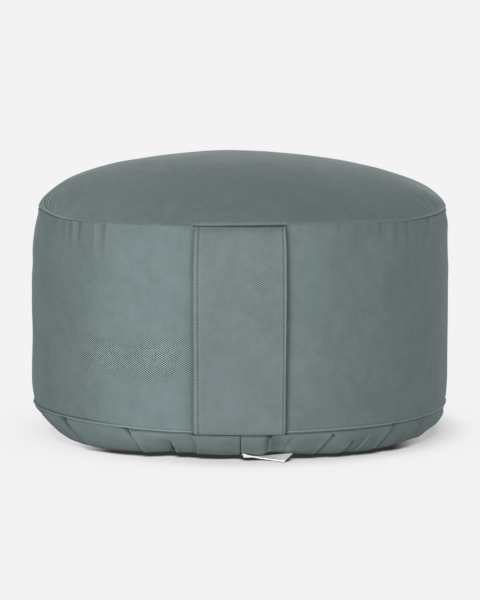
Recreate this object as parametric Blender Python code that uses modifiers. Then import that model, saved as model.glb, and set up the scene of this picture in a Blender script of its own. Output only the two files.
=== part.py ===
"""Round meditation cushion (zafu) with a sewn-on carry strap.

Units are metres, +Z is up. The origin is the middle of the face that the cushion rests on,
and the carry strap faces -Y. A bearing is an angle round the cushion, in degrees: 0 is the
middle of the strap, and it grows towards +X.
"""

import math
from typing import NamedTuple

import bmesh
import bpy
from mathutils import Vector

MM = 0.001

# ---- driving sizes -------------------------------------------------------------------------

DIAMETER = 0.300                  # widest part of the side
HEIGHT = 0.200                    # floor to the top of the crown
TOP_SEAM_HEIGHT = 0.1573
TOP_SEAM_RADIUS = 0.1463
BOTTOM_SEAM_HEIGHT = 0.0200
BOTTOM_SEAM_RADIUS = 0.1490

GAP = 0.3 * MM                    # between two pieces of cloth that touch

# ---- shape of the filled cover -------------------------------------------------------------

TURN_STEPS = 144                  # facets round the cushion
FRONT_CROWDING = 0.45             # how far the facets are drawn towards the front
CROWN_STEPS = 12
WALL_STEPS = 10
UNDERSIDE_STEPS = 8
TURN_MERGE = 0.01 * MM            # points of the turned mesh closer than this are one
SHARP_ANGLE = 50.0                # degrees from which an edge is shaded sharp

CROWN_POWER_OUT = 1.75            # superellipse of the crown, along the radius
CROWN_POWER_UP = 2.2              # and along the height
CROWN_LEAN_POWER = 8              # how near its seam the crown's lean dies away
CROWN_WANDER_POWER = 6            # and how near it the crown starts to follow the seam
TOP_TURN_HEIGHT = 0.125           # the side draws in to the top seam from here up
TOP_TURN_POWER = 3.0
BOTTOM_TURN_HEIGHT = 0.045        # and to the bottom seam from here down
BOTTOM_TURN_POWER = 2.0
UNDERSIDE_POWER = 1.65            # how full the bottom panel is between its seam and the floor
UNDERSIDE_SIDE_POWER = 0.2        # fuller by this on the +X side than at the front
UNDERSIDE_FLANK_POWER = -0.2      # and by this on both sides

TOP_SEAM_SIDE_SHIFT = 1.7 * MM    # the top seam stands out more on the +X side
CROWN_SIDE_LEAN = 2.2 * MM        # the crown is fuller on the -X side
SEAM_WANDER_SLOW = 0.4 * MM       # the seams rise and fall a little on their way round
SEAM_WANDER_QUICK = 0.25 * MM
LOW_SEAM_TURN = 70.0              # degrees by which the bottom seam's wander is turned
BARREL_WANDER = 0.3 * MM
SIDE_DENT_DEPTH = 0.5 * MM        # a soft dent low on the -X side
SIDE_DENT_HEIGHT = 0.070
SIDE_DENT_SPAN = 0.030

SEAM_GROOVE_DEPTH = 0.8 * MM
TOP_GROOVE_HALF = 0.6 * MM        # half the height of the groove along the top seam
RIDGE_PROUD = 0.5 * MM            # the edge of the bottom panel, stitched down as a ridge
RIDGE_HALF = 1.1 * MM

# ---- carry strap ---------------------------------------------------------------------------

STRAP_WIDTH = 0.062
STRAP_BEARING = 0.1               # its middle, in degrees
STRAP_THICKNESS = 2.2 * MM
STRAP_HEM_PROUD = 0.35 * MM       # the hem is a little thicker than the middle
STRAP_STITCH_INSET = 2.8 * MM     # from the edge to the row of stitches
STRAP_HEM_WIDTH = 4.2 * MM
STRAP_OFF_WALL = 0.5 * MM
STRAP_BULGE = 0.7 * MM            # how far its loose middle stands off
STRAP_ROWS = 22

# ---- closing flap of the bottom panel ------------------------------------------------------

FLAP_LEFT = 1.0 * MM              # x of the edge that shows as a line at the front
FLAP_WIDTH = 20.5 * MM
FLAP_THICKNESS = 1.5 * MM
FLAP_PROUD = 0.7 * MM             # how far it stands out of the panel above the floor
FLAP_END_SHARE = 0.9985           # its ends tuck in under the bottom seam
FLAP_RISE_SHARE = 0.33            # the stretch above the floor over which it comes to stand proud
FLAP_TUCK_SHARE = 0.05            # the stretch under the seam over which it sinks in again
FLAP_COLUMNS = 4
FLAP_CURVED_ROWS = 9              # at each end, where the panel curves up to its seam
FLAP_FLAT_ROWS = 6                # where it lies on the floor

# ---- care label ----------------------------------------------------------------------------

LABEL_THICKNESS = 0.9 * MM
LABEL_STEPS = 3                   # grid steps between two stations


# ---- the tables -----------------------------------------------------------------------------

class RestRow(NamedTuple):
    """Where the bottom panel leaves the floor, at one bearing."""

    bearing: float
    radius: float


REST_TABLE = (
    RestRow(-180.0, 0.124),
    RestRow(-120.0, 0.127),
    RestRow(-90.0, 0.128),
    RestRow(-58.0, 0.128),
    RestRow(-44.0, 0.130),
    RestRow(-33.0, 0.124),
    RestRow(-20.0, 0.111),
    RestRow(-12.0, 0.117),
    RestRow(-4.0, 0.121),
    RestRow(0.0, 0.118),
    RestRow(2.0, 0.114),
    RestRow(7.0, 0.113),
    RestRow(10.5, 0.104),
    RestRow(15.0, 0.111),
    RestRow(21.0, 0.117),
    RestRow(31.0, 0.125),
    RestRow(45.0, 0.129),
    RestRow(65.0, 0.131),
    RestRow(90.0, 0.132),
    RestRow(130.0, 0.128),
)


class Fold(NamedTuple):
    """A pleat of the bottom panel, from its seam to the floor."""

    seam_bearing: float
    floor_bearing: float
    over: int                     # +1 where the cloth on the +bearing side lies on top
    depth: float
    width: float


FRONT_FOLDS = (
    Fold(-55.4, -57.0, +1, 2.2 * MM, 9.0 * MM),
    Fold(-32.6, -32.0, +1, 3.0 * MM, 7.5 * MM),
    Fold(-19.2, -18.5, +1, 1.2 * MM, 8.0 * MM),
    Fold(-12.0, -11.5, +1, 1.5 * MM, 7.5 * MM),
    Fold(15.2, 15.6, -1, 1.2 * MM, 7.5 * MM),
    Fold(24.4, 22.5, -1, 2.6 * MM, 7.5 * MM),
    Fold(29.2, 29.5, +1, 1.1 * MM, 7.0 * MM),
    Fold(41.7, 40.5, -1, 2.8 * MM, 8.0 * MM),
    Fold(58.0, 57.0, -1, 1.6 * MM, 9.0 * MM),
)
BACK_FOLD_FIRST = 76.0
BACK_FOLD_PITCH = 15.6
BACK_FOLD_COUNT = 14
BACK_FOLD_WANDER = 4.0
BACK_FOLD_SLANT = 1.5             # degrees between its ends at the seam and at the floor
BACK_FOLD_DEPTH = 2.2 * MM
BACK_FOLD_WIDTH = 11.0 * MM
BACK_FOLD_UNEVENNESS = 0.35

FOLD_FADE_AT_SEAM = 0.18          # share of the panel's height over which a fold starts
FOLD_FADE_AT_FLOOR = 0.20         # and over which it dies away
FOLD_TROUGH_SHIFT = 0.25          # shares of a fold's width from its line to its trough
FOLD_CREST_SHIFT = 0.35           # and to its crest, on the side that lies on top
FOLD_CREST_SHARE = 0.45           # height of the crest for each part of the depth


class Pucker(NamedTuple):
    """A short upright dent in the side, just under the top seam."""

    bearing: float
    depth: float
    width: float
    length: float


PUCKERS = (
    Pucker(-53.5, 1.0 * MM, 5.0 * MM, 26.0 * MM),
    Pucker(-48.5, 0.8 * MM, 5.0 * MM, 22.0 * MM),
    Pucker(-41.0, 0.9 * MM, 7.0 * MM, 32.0 * MM),
    Pucker(-27.0, 0.4 * MM, 9.0 * MM, 22.0 * MM),
    Pucker(24.0, 0.4 * MM, 9.0 * MM, 20.0 * MM),
    Pucker(41.0, 0.8 * MM, 6.0 * MM, 16.0 * MM),
    Pucker(46.5, 0.9 * MM, 5.0 * MM, 20.0 * MM),
    Pucker(53.0, 0.6 * MM, 7.0 * MM, 20.0 * MM),
    Pucker(96.0, 0.7 * MM, 9.0 * MM, 24.0 * MM),
    Pucker(131.0, 0.9 * MM, 8.0 * MM, 26.0 * MM),
    Pucker(166.0, 0.7 * MM, 9.0 * MM, 22.0 * MM),
    Pucker(-152.0, 0.9 * MM, 9.0 * MM, 27.0 * MM),
    Pucker(-118.0, 0.7 * MM, 8.0 * MM, 22.0 * MM),
    Pucker(-84.0, 0.6 * MM, 9.0 * MM, 24.0 * MM),
)


class LabelStation(NamedTuple):
    """Both edges of the label tape at one place along it, in millimetres."""

    near_x: float
    near_y: float
    near_z: float
    far_x: float
    far_y: float
    far_z: float


LABEL_STATIONS = (
    LabelStation(2.2, -137.4, 4.0, 2.6, -130.4, 0.7),
    LabelStation(7.0, -136.3, 2.4, 8.0, -128.0, 0.4),
    LabelStation(14.2, -134.8, 0.8, 15.5, -125.0, 0.2),
    LabelStation(23.5, -138.4, 0.1, 25.5, -125.0, 0.2),
    LabelStation(29.4, -144.0, 0.1, 35.2, -131.0, 2.2),
)

# ---- finishes, colours linear ---------------------------------------------------------------

COVER_COLOUR = (0.155, 0.190, 0.190, 1.0)
COVER_ROUGHNESS = 0.90
STRAP_COLOUR = (0.165, 0.200, 0.205, 1.0)
STRAP_ROUGHNESS = 0.88
LABEL_COLOUR = (0.850, 0.840, 0.810, 1.0)
LABEL_ROUGHNESS = 0.60


# ---- small helpers --------------------------------------------------------------------------

def smooth(value):
    """Ease from 0 to 1 as value goes from 0 to 1."""
    value = min(1.0, max(0.0, value))
    return value * value * (3.0 - 2.0 * value)


def bell(distance, width):
    """A soft bump, 1 at distance 0 and near 0 at distance width."""
    return math.exp(-(2.0 * distance / width) ** 2)


def turn_between(bearing, other):
    """Degrees from other to bearing, the short way round."""
    return (bearing - other + 180.0) % 360.0 - 180.0


def at_bearing(radius, bearing, height):
    """The point at a radius, a bearing and a height."""
    angle = math.radians(bearing)
    return Vector((radius * math.sin(angle), -radius * math.cos(angle), height))


# ---- the filled cover -----------------------------------------------------------------------

def rest_radius(bearing):
    """The radius at which the bottom panel meets the floor, from REST_TABLE."""
    rows = REST_TABLE + (REST_TABLE[0]._replace(bearing=180.0),)
    bearing = turn_between(bearing, 0.0)
    for row, following in zip(rows, rows[1:]):
        if bearing <= following.bearing:
            share = (bearing - row.bearing) / (following.bearing - row.bearing)
            return row.radius + (following.radius - row.radius) * smooth(share)
    return rows[-1].radius


def top_seam_radius(bearing):
    """The radius of the top seam, which is not quite central."""
    return TOP_SEAM_RADIUS + TOP_SEAM_SIDE_SHIFT * math.sin(math.radians(bearing))


def seam_wander(bearing):
    """How far the top seam lies above or below its own level."""
    angle = math.radians(bearing)
    return SEAM_WANDER_SLOW * math.sin(2.0 * angle + 0.7) + SEAM_WANDER_QUICK * math.sin(5.0 * angle)


def low_seam_wander(bearing):
    """The same for the bottom seam."""
    return seam_wander(bearing + LOW_SEAM_TURN)


def pucker_depth(bearing, height):
    """How far the side is pressed in by the puckers under the top seam."""
    below_seam = TOP_SEAM_HEIGHT - height
    depth = 0.0
    for pucker in PUCKERS:
        across = math.radians(turn_between(bearing, pucker.bearing)) * DIAMETER / 2.0
        fade = 1.0 - smooth(below_seam / pucker.length)
        depth += pucker.depth * bell(across, pucker.width) * fade
    return depth


def wall_radius(height, bearing):
    """The radius of the side panel at a height and a bearing."""
    barrel = DIAMETER / 2.0
    top_share = max(0.0, (height - TOP_TURN_HEIGHT) / (TOP_SEAM_HEIGHT - TOP_TURN_HEIGHT))
    low_share = max(0.0, (BOTTOM_TURN_HEIGHT - height) / (BOTTOM_TURN_HEIGHT - BOTTOM_SEAM_HEIGHT))
    radius = barrel - (barrel - top_seam_radius(bearing)) * top_share ** TOP_TURN_POWER
    radius -= (barrel - BOTTOM_SEAM_RADIUS) * low_share ** BOTTOM_TURN_POWER
    angle = math.radians(bearing)
    climbed = (height - BOTTOM_SEAM_HEIGHT) / (TOP_SEAM_HEIGHT - BOTTOM_SEAM_HEIGHT)
    radius += BARREL_WANDER * math.sin(math.pi * climbed) * math.sin(3.0 * angle + 1.1)
    dent = bell(height - SIDE_DENT_HEIGHT, SIDE_DENT_SPAN) * max(0.0, -math.sin(angle))
    radius -= SIDE_DENT_DEPTH * dent
    return radius - pucker_depth(bearing, height)


def all_folds():
    """The pleats seen at the front and those that carry on round the back."""
    folds = list(FRONT_FOLDS)
    for index in range(BACK_FOLD_COUNT):
        bearing = BACK_FOLD_FIRST + BACK_FOLD_PITCH * index
        bearing += BACK_FOLD_WANDER * math.sin(2.3 * index)
        over = 1 if index % 3 else -1
        depth = BACK_FOLD_DEPTH * (1.0 + BACK_FOLD_UNEVENNESS * math.cos(1.7 * index))
        slanted = bearing + BACK_FOLD_SLANT * over
        folds.append(Fold(bearing, slanted, over, depth, BACK_FOLD_WIDTH))
    return folds


ALL_FOLDS = all_folds()


def fold_relief(bearing, share, climbed, radius):
    """How far the bottom panel stands out at its pleats, negative where it is pressed in.

    share is 1 at the seam and 0 where the panel meets the floor, and climbed is the same
    for the height.
    """
    along = smooth((1.0 - climbed) / FOLD_FADE_AT_SEAM) * smooth(climbed / FOLD_FADE_AT_FLOOR)
    if along == 0.0:
        return 0.0
    relief = 0.0
    for fold in ALL_FOLDS:
        line = fold.floor_bearing + (fold.seam_bearing - fold.floor_bearing) * share
        across = math.radians(turn_between(bearing, line)) * radius * fold.over
        trough = bell(across + FOLD_TROUGH_SHIFT * fold.width, fold.width)
        crest = bell(across - FOLD_CREST_SHIFT * fold.width, fold.width)
        relief += fold.depth * (FOLD_CREST_SHARE * crest - trough)
    return relief * along


def underside_point(share, bearing, outset=0.0):
    """A point of the bottom panel, outset along its outward direction.

    share is 1 at the seam and 0 where the panel meets the floor.
    """
    share = min(1.0, max(0.0, share))
    rest = rest_radius(bearing)
    side = math.sin(math.radians(bearing))
    power = UNDERSIDE_POWER + UNDERSIDE_SIDE_POWER * side + UNDERSIDE_FLANK_POWER * side ** 2
    width = BOTTOM_SEAM_RADIUS - rest
    radius = rest + width * share
    climb = (1.0 - share ** power) ** (1.0 / power)
    height = BOTTOM_SEAM_HEIGHT * (1.0 - climb)
    out_along = Vector((share ** (power - 1.0) / width, -(climb ** (power - 1.0)) / BOTTOM_SEAM_HEIGHT))
    out_along.normalize()
    outset += fold_relief(bearing, share, 1.0 - climb, radius)
    radius += out_along.x * outset
    height = max(0.0, height + out_along.y * outset)
    return radius, height


def under_strap(bearing):
    """1 where the strap's end lies over the bottom seam, fading to 0 just beside it."""
    half = math.degrees(STRAP_WIDTH / DIAMETER)
    fade = math.degrees(STRAP_THICKNESS / (DIAMETER / 2.0))
    return 1.0 - smooth((abs(turn_between(bearing, 0.0)) - half) / fade)


def crown_profile():
    """The top panel in section, from its middle to just above its seam."""
    points = []
    rise = HEIGHT - TOP_SEAM_HEIGHT
    for step in range(CROWN_STEPS + 1):
        angle = math.pi / 2.0 * step / CROWN_STEPS
        radius = TOP_SEAM_RADIUS * math.sin(angle) ** (2.0 / CROWN_POWER_OUT)
        height = TOP_SEAM_HEIGHT + rise * max(0.0, math.cos(angle)) ** (2.0 / CROWN_POWER_UP)
        points.append((radius, height))
    points[-1] = (TOP_SEAM_RADIUS, TOP_SEAM_HEIGHT + TOP_GROOVE_HALF)
    return points


def wall_heights():
    """The heights of the rings of the side panel, closer together near its seams."""
    upper = TOP_SEAM_HEIGHT - TOP_GROOVE_HALF
    lower = BOTTOM_SEAM_HEIGHT + 2.0 * RIDGE_HALF
    heights = []
    for step in range(WALL_STEPS + 1):
        share = step / WALL_STEPS
        eased = 0.5 - 0.5 * math.cos(math.pi * share)
        heights.append(upper + (lower - upper) * (share + eased) / 2.0)
    return heights


def underside_shares():
    """How far out each ring of the bottom panel lies, from near its seam to the floor."""
    shares = []
    for step in range(1, UNDERSIDE_STEPS + 1):
        shares.append(math.cos(math.pi / 2.0 * step / UNDERSIDE_STEPS) ** (2.0 / UNDERSIDE_POWER))
    shares[-1] = 0.0
    return shares


class Ring(NamedTuple):
    """One ring of the cover: its kind, its place within that kind, and its plain radius."""

    kind: str
    place: float
    radius: float


def cover_rings():
    """All rings of the cover, from the middle of the crown down and round to the floor."""
    rings = []
    for radius, height in crown_profile():
        rings.append(Ring("crown", height, radius))
    rings.append(Ring("top_groove", TOP_SEAM_HEIGHT, TOP_SEAM_RADIUS - SEAM_GROOVE_DEPTH))
    for height in wall_heights():
        rings.append(Ring("wall", height, wall_radius(height, 0.0)))
    low = BOTTOM_SEAM_HEIGHT
    rings.append(Ring("low_groove", low + RIDGE_HALF, BOTTOM_SEAM_RADIUS - SEAM_GROOVE_DEPTH))
    rings.append(Ring("ridge", low, BOTTOM_SEAM_RADIUS + RIDGE_PROUD))
    for share in underside_shares():
        rings.append(Ring("underside", share, underside_point(share, 0.0)[0]))
    return rings


def ring_height(index, count):
    """A plain falling height that tells the turned rings apart."""
    return HEIGHT * (1.0 - index / count)


def ring_point(ring, bearing):
    """The real radius and height of one ring at one bearing."""
    angle = math.radians(bearing)
    if ring.kind == "crown":
        spread = ring.radius / TOP_SEAM_RADIUS
        lean = -CROWN_SIDE_LEAN * math.sin(angle) * spread * (1.0 - spread ** CROWN_LEAN_POWER)
        radius = top_seam_radius(bearing) * spread
        wander = seam_wander(bearing) * spread ** CROWN_WANDER_POWER
        return radius, ring.place + lean + wander
    if ring.kind == "top_groove":
        return top_seam_radius(bearing) - SEAM_GROOVE_DEPTH, ring.place + seam_wander(bearing)
    if ring.kind == "wall":
        upper = smooth((ring.place - 0.5 * TOP_SEAM_HEIGHT) / (0.5 * TOP_SEAM_HEIGHT))
        lower = 1.0 - upper
        height = ring.place + seam_wander(bearing) * upper + low_seam_wander(bearing) * lower
        return wall_radius(ring.place, bearing), height
    if ring.kind == "low_groove":
        return ring.radius, ring.place + low_seam_wander(bearing)
    if ring.kind == "ridge":
        radius = ring.radius - RIDGE_PROUD * under_strap(bearing)
        return radius, ring.place + low_seam_wander(bearing)
    return underside_point(ring.place, bearing)


def crowd_to_front(bearing):
    """Draw the turned facets closer together at the front, where the folds show."""
    return bearing - math.degrees(FRONT_CROWDING * math.sin(math.radians(bearing)))


def turned_mesh(name, rings):
    """A closed mesh turned from a plain profile of the rings with a Screw modifier."""
    count = len(rings)
    profile = bpy.data.meshes.new(name + "_profile")
    points = [(ring.radius, 0.0, ring_height(index, count)) for index, ring in enumerate(rings)]
    points.append((0.0, 0.0, 0.0))
    edges = [(index, index + 1) for index in range(count)]
    profile.from_pydata(points, edges, [])
    turned = bpy.data.objects.new(name + "_profile", profile)
    bpy.context.scene.collection.objects.link(turned)
    screw = turned.modifiers.new("Turn", "SCREW")
    screw.axis = "Z"
    screw.angle = 2.0 * math.pi
    screw.steps = TURN_STEPS
    screw.render_steps = TURN_STEPS
    screw.use_merge_vertices = True
    screw.merge_threshold = TURN_MERGE
    evaluated = turned.evaluated_get(bpy.context.evaluated_depsgraph_get())
    mesh = bpy.data.meshes.new_from_object(evaluated)
    mesh.name = name
    bpy.data.objects.remove(turned)
    bpy.data.meshes.remove(profile)
    return mesh


def shape_cover(mesh, rings):
    """Move each turned point to its real place on the filled cover."""
    count = len(rings)
    for vertex in mesh.vertices:
        x, y, height = vertex.co
        index = round((1.0 - height / HEIGHT) * count)
        if index == count:
            vertex.co = (0.0, 0.0, 0.0)
            continue
        bearing = crowd_to_front(math.degrees(math.atan2(x, -y)))
        radius, real_height = ring_point(rings[index], bearing)
        if rings[index].radius < MM:
            radius = 0.0
        vertex.co = at_bearing(radius, bearing, real_height)


# ---- sheets ---------------------------------------------------------------------------------

def grid_object(name, collection, rows):
    """An open sheet through rows of points."""
    columns = len(rows[0])
    mesh = bpy.data.meshes.new(name)
    sheet = bmesh.new()
    bmesh.ops.create_grid(sheet, x_segments=columns - 1, y_segments=len(rows) - 1, size=1.0)
    sheet.verts.ensure_lookup_table()
    for vertex in sheet.verts:
        column = round((vertex.co.x + 1.0) / 2.0 * (columns - 1))
        row = round((vertex.co.y + 1.0) / 2.0 * (len(rows) - 1))
        vertex.co = rows[row][column]
    sheet.to_mesh(mesh)
    sheet.free()
    piece = bpy.data.objects.new(name, mesh)
    collection.objects.link(piece)
    return piece


def thicken(piece, thickness, offset):
    """Give a sheet its thickness; offset 1 adds it along the normals, -1 against them."""
    solidify = piece.modifiers.new("Thickness", "SOLIDIFY")
    solidify.thickness = thickness
    solidify.offset = offset
    solidify.use_even_offset = True


# ---- materials ------------------------------------------------------------------------------

def cloth_material(name, colour, roughness):
    """A plain cloth finish."""
    material = bpy.data.materials.new(name)
    material.use_nodes = True
    shader = material.node_tree.nodes["Principled BSDF"]
    shader.inputs["Base Color"].default_value = colour
    shader.inputs["Roughness"].default_value = roughness
    shader.inputs["Metallic"].default_value = 0.0
    material.diffuse_color = colour
    return material


# ---- pieces ---------------------------------------------------------------------------------

def bearing_at(x, radius, side):
    """The bearing of the point at x on a circle; side is -1 at the front and 1 at the back."""
    return math.degrees(math.atan2(x, -side * math.sqrt(radius ** 2 - x ** 2)))


def flap_curved_point(x, side, share):
    """A point of the flap's outer face where the bottom panel curves up to its seam."""
    radius = BOTTOM_SEAM_RADIUS
    for _ in range(4):
        bearing = bearing_at(x, radius, side)
        rest = rest_radius(bearing)
        radius = rest + (BOTTOM_SEAM_RADIUS - rest) * share
    proud = FLAP_PROUD * smooth(share / FLAP_RISE_SHARE) * smooth((1.0 - share) / FLAP_TUCK_SHARE)
    real_radius, height = underside_point(share, bearing, proud)
    return Vector((x, side * math.sqrt(real_radius ** 2 - x ** 2), height))


def flap_rows(margin):
    """Rows of points along the closing flap, from the front seam to the back one.

    margin widens and lengthens the strip on each side.
    """
    width = FLAP_WIDTH + 2.0 * margin
    columns = [FLAP_LEFT - margin + width * step / FLAP_COLUMNS for step in range(FLAP_COLUMNS + 1)]
    end_share = min(1.0, FLAP_END_SHARE + margin / BOTTOM_SEAM_HEIGHT)
    end_angle = math.acos(end_share ** (UNDERSIDE_POWER / 2.0))
    front = []
    back = []
    for step in range(FLAP_CURVED_ROWS + 1):
        angle = end_angle + (math.pi / 2.0 - end_angle) * step / FLAP_CURVED_ROWS
        share = max(0.0, math.cos(angle)) ** (2.0 / UNDERSIDE_POWER)
        front.append([flap_curved_point(x, -1.0, share) for x in columns])
        back.append([flap_curved_point(x, 1.0, share) for x in columns])
    flat = []
    for step in range(1, FLAP_FLAT_ROWS):
        share = step / FLAP_FLAT_ROWS
        flat.append([start.lerp(end, share) for start, end in zip(front[-1], back[-1])])
    return front + flat + back[::-1]


def build_cushion(collection, cutters, material):
    """The filled cover as one solid, with a shallow channel for the closing flap."""
    rings = cover_rings()
    mesh = turned_mesh("cushion", rings)
    shape_cover(mesh, rings)
    cushion = bpy.data.objects.new("cushion", mesh)
    collection.objects.link(cushion)
    mesh.materials.append(material)

    cutter = grid_object("flap_channel", cutters, flap_rows(GAP))
    inward = FLAP_THICKNESS + GAP
    outward = 2.0 * FLAP_THICKNESS
    thicken(cutter, inward + outward, (inward - outward) / (inward + outward))
    cutter.hide_render = True
    cutter.display_type = "WIRE"
    channel = cushion.modifiers.new("Flap channel", "BOOLEAN")
    channel.operation = "DIFFERENCE"
    channel.solver = "EXACT"
    channel.object = cutter
    mesh.shade_smooth()
    mesh.set_sharp_from_angle(angle=math.radians(SHARP_ANGLE))
    return cushion


def build_closing_flap(collection, material):
    """The lapped strip that closes the bottom panel, from seam to seam."""
    flap = grid_object("closing_flap", collection, flap_rows(0.0))
    thicken(flap, FLAP_THICKNESS, 1.0)
    flap.data.materials.append(material)
    flap.data.shade_smooth()
    return flap


def strap_columns():
    """Distances across the strap, with a hem at each side."""
    half = STRAP_WIDTH / 2.0
    stitch = half - STRAP_STITCH_INSET
    inner = half - 2.0 * STRAP_STITCH_INSET
    rim = half - STRAP_STITCH_INSET / 2.0
    side = [half, rim, stitch, inner, inner / 2.0]
    return [-distance for distance in side] + [0.0] + side[::-1]


def build_carry_strap(collection, material):
    """The broad band over the side, caught in the top and the bottom seam."""
    upper = TOP_SEAM_HEIGHT - 2.0 * GAP
    lower = BOTTOM_SEAM_HEIGHT + GAP
    half = STRAP_WIDTH / 2.0
    rows = []
    for row in range(STRAP_ROWS + 1):
        share = row / STRAP_ROWS
        height = upper + (lower - upper) * share
        belly = math.sin(math.pi * share)
        points = []
        for across in strap_columns():
            bearing = STRAP_BEARING + math.degrees(across / (DIAMETER / 2.0 + STRAP_THICKNESS))
            wall = wall_radius(height, bearing)
            hem = smooth((abs(across) - (half - STRAP_HEM_WIDTH)) / STRAP_STITCH_INSET)
            lift = STRAP_OFF_WALL + STRAP_BULGE * belly * (1.0 + (across / half) ** 2) / 2.0
            lift += STRAP_HEM_PROUD * hem
            points.append(at_bearing(wall + lift + STRAP_THICKNESS, bearing, height))
        rows.append(points)
    strap = grid_object("carry_strap", collection, rows)
    thicken(strap, STRAP_THICKNESS, 1.0)
    strap.data.materials.append(material)
    strap.data.shade_smooth()
    return strap


def build_care_label(collection, material):
    """The small folded tape that lies out on the floor beside the closing flap."""
    rows = []
    for station, following in zip(LABEL_STATIONS, LABEL_STATIONS[1:]):
        for step in range(LABEL_STEPS):
            share = step / LABEL_STEPS
            rows.append([a + (b - a) * share for a, b in zip(station, following)])
    rows.append(list(LABEL_STATIONS[-1]))
    points = []
    for near_x, near_y, near_z, far_x, far_y, far_z in rows:
        near = Vector((near_x, near_y, near_z)) * MM
        far = Vector((far_x, far_y, far_z)) * MM
        middle = (near + far) / 2.0
        points.append([near, middle, far])
    label = grid_object("care_label", collection, points)
    thicken(label, LABEL_THICKNESS, -1.0)
    label.data.materials.append(material)
    label.data.shade_smooth()
    return label


def main():
    """Build the cushion in an empty scene."""
    for leftover in list(bpy.data.objects):
        bpy.data.objects.remove(leftover)
    collection = bpy.data.collections.new("meditation_cushion")
    cutters = bpy.data.collections.new("cutters")
    bpy.context.scene.collection.children.link(collection)
    bpy.context.scene.collection.children.link(cutters)

    cover = cloth_material("cover_cloth", COVER_COLOUR, COVER_ROUGHNESS)
    strap = cloth_material("strap_cloth", STRAP_COLOUR, STRAP_ROUGHNESS)
    tape = cloth_material("label_tape", LABEL_COLOUR, LABEL_ROUGHNESS)

    build_cushion(collection, cutters, cover)
    build_closing_flap(collection, cover)
    build_carry_strap(collection, strap)
    build_care_label(collection, tape)


main()
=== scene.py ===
"""Looks of a round meditation cushion with a carry strap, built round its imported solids.

Units are metres, +Z is up and the carry strap faces -Y. A bearing is an angle round the
cushion, in degrees: 0 is the middle of the strap, and it grows towards +X.
"""

import logging
import math
from dataclasses import dataclass
from enum import Enum

import bpy
import numpy as np
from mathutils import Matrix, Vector, noise


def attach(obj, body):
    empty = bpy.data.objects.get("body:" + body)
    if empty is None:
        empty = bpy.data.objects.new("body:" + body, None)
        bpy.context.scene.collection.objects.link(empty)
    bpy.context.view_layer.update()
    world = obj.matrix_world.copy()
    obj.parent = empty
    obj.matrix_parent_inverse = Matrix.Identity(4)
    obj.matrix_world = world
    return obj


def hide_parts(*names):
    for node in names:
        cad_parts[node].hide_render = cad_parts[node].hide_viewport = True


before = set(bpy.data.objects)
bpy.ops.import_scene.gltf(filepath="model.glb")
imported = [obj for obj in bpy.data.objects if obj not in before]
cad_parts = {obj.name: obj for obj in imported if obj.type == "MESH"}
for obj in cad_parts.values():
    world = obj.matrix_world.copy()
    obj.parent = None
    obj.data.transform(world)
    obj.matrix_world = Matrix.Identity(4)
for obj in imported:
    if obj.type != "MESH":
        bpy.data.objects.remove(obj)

MM = 0.001
BODY = "root"
CLOTH_LAYER = "cloth_metres"
# the masks that each piece carries: painted highlight on ridges and edges, painted shade in folds, grooves
# and creases, how clearly the weave shows, and painted light and shade by bearing
MASKS = ("painted_highlight", "painted_shade", "weave", "painted_light")
Array = np.ndarray
Colour = tuple[float, float, float]

logging.basicConfig(level=logging.INFO, format="%(message)s")
LOG = logging.getLogger("meditation_cushion")


# ---- numbers and curves ---------------------------------------------------------------------

def smooth(value: Array | float) -> Array:
    """Eases a value, or an array of them, from 0 to 1 as it goes from 0 to 1."""
    value = np.clip(value, 0.0, 1.0)
    return value * value * (3.0 - 2.0 * value)


def bell(distance: Array | float, width: Array | float) -> Array:
    """A soft bump, 1 at distance 0 and near 0 at distance width."""
    return np.exp(-((2.0 * np.asarray(distance) / width) ** 2))


def window(bearing: Array, start: float, end: float, fade: float) -> Array:
    """1 between two bearings from -180 to 180, fading to 0 outside them over fade degrees."""
    turn = turn_between(bearing, 0.0)
    return smooth((turn - start) / fade + 0.5) * smooth((end - turn) / fade + 0.5)


def turn_between(bearing: Array | float, other: Array | float) -> Array:
    """Degrees from other to bearing, the short way round."""
    return (np.asarray(bearing) - other + 180.0) % 360.0 - 180.0


def cloud(points: Array, size: float, seed: float) -> Array:
    """Soft random hills and hollows at points in space.

    Args:
        points: an array of points, the last axis holding x, y and z.
        size: the width of one hill, in metres.
        seed: a number that picks one pattern of hills.

    Returns:
        Heights from about -1 to 1, one for each point.
    """
    flat = points.reshape(-1, 3) / size + seed
    heights = np.fromiter((noise.noise(Vector(point)) for point in flat), float, len(flat))
    return heights.reshape(points.shape[:-1])


def at_bearing(radius: Array, bearing: Array, height: Array) -> Array:
    """Points at a radius, a bearing and a height.

    Args:
        radius: distances from the middle line, in metres.
        bearing: bearings in degrees.
        height: heights above the floor, in metres.

    Returns:
        The points, with x, y and z on the last axis.
    """
    angle = np.radians(bearing)
    parts = np.broadcast_arrays(radius * np.sin(angle), -radius * np.cos(angle), height)
    return np.stack(parts, axis=-1)


def run_along(points: Array) -> Array:
    """The distance of each point of a line from its first one, along the line."""
    return np.concatenate([[0.0], np.cumsum(np.linalg.norm(np.diff(points, axis=0), axis=1))])


def steps_from_edge(fine: float, coarse: float, growth: float, reach: float) -> list[float]:
    """Distances from an edge whose steps grow from fine to coarse.

    Args:
        fine: the first step, in metres.
        coarse: the largest step.
        growth: how much longer each step is than the last one.
        reach: the distance to cover.

    Returns:
        The distances, from 0 to reach.
    """
    places, step = [0.0], fine
    while places[-1] + step < reach:
        places.append(places[-1] + step)
        step = min(coarse, step * growth)
    if reach - places[-1] < 0.5 * step and len(places) > 1:
        places.pop()
    return places + [reach]


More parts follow.
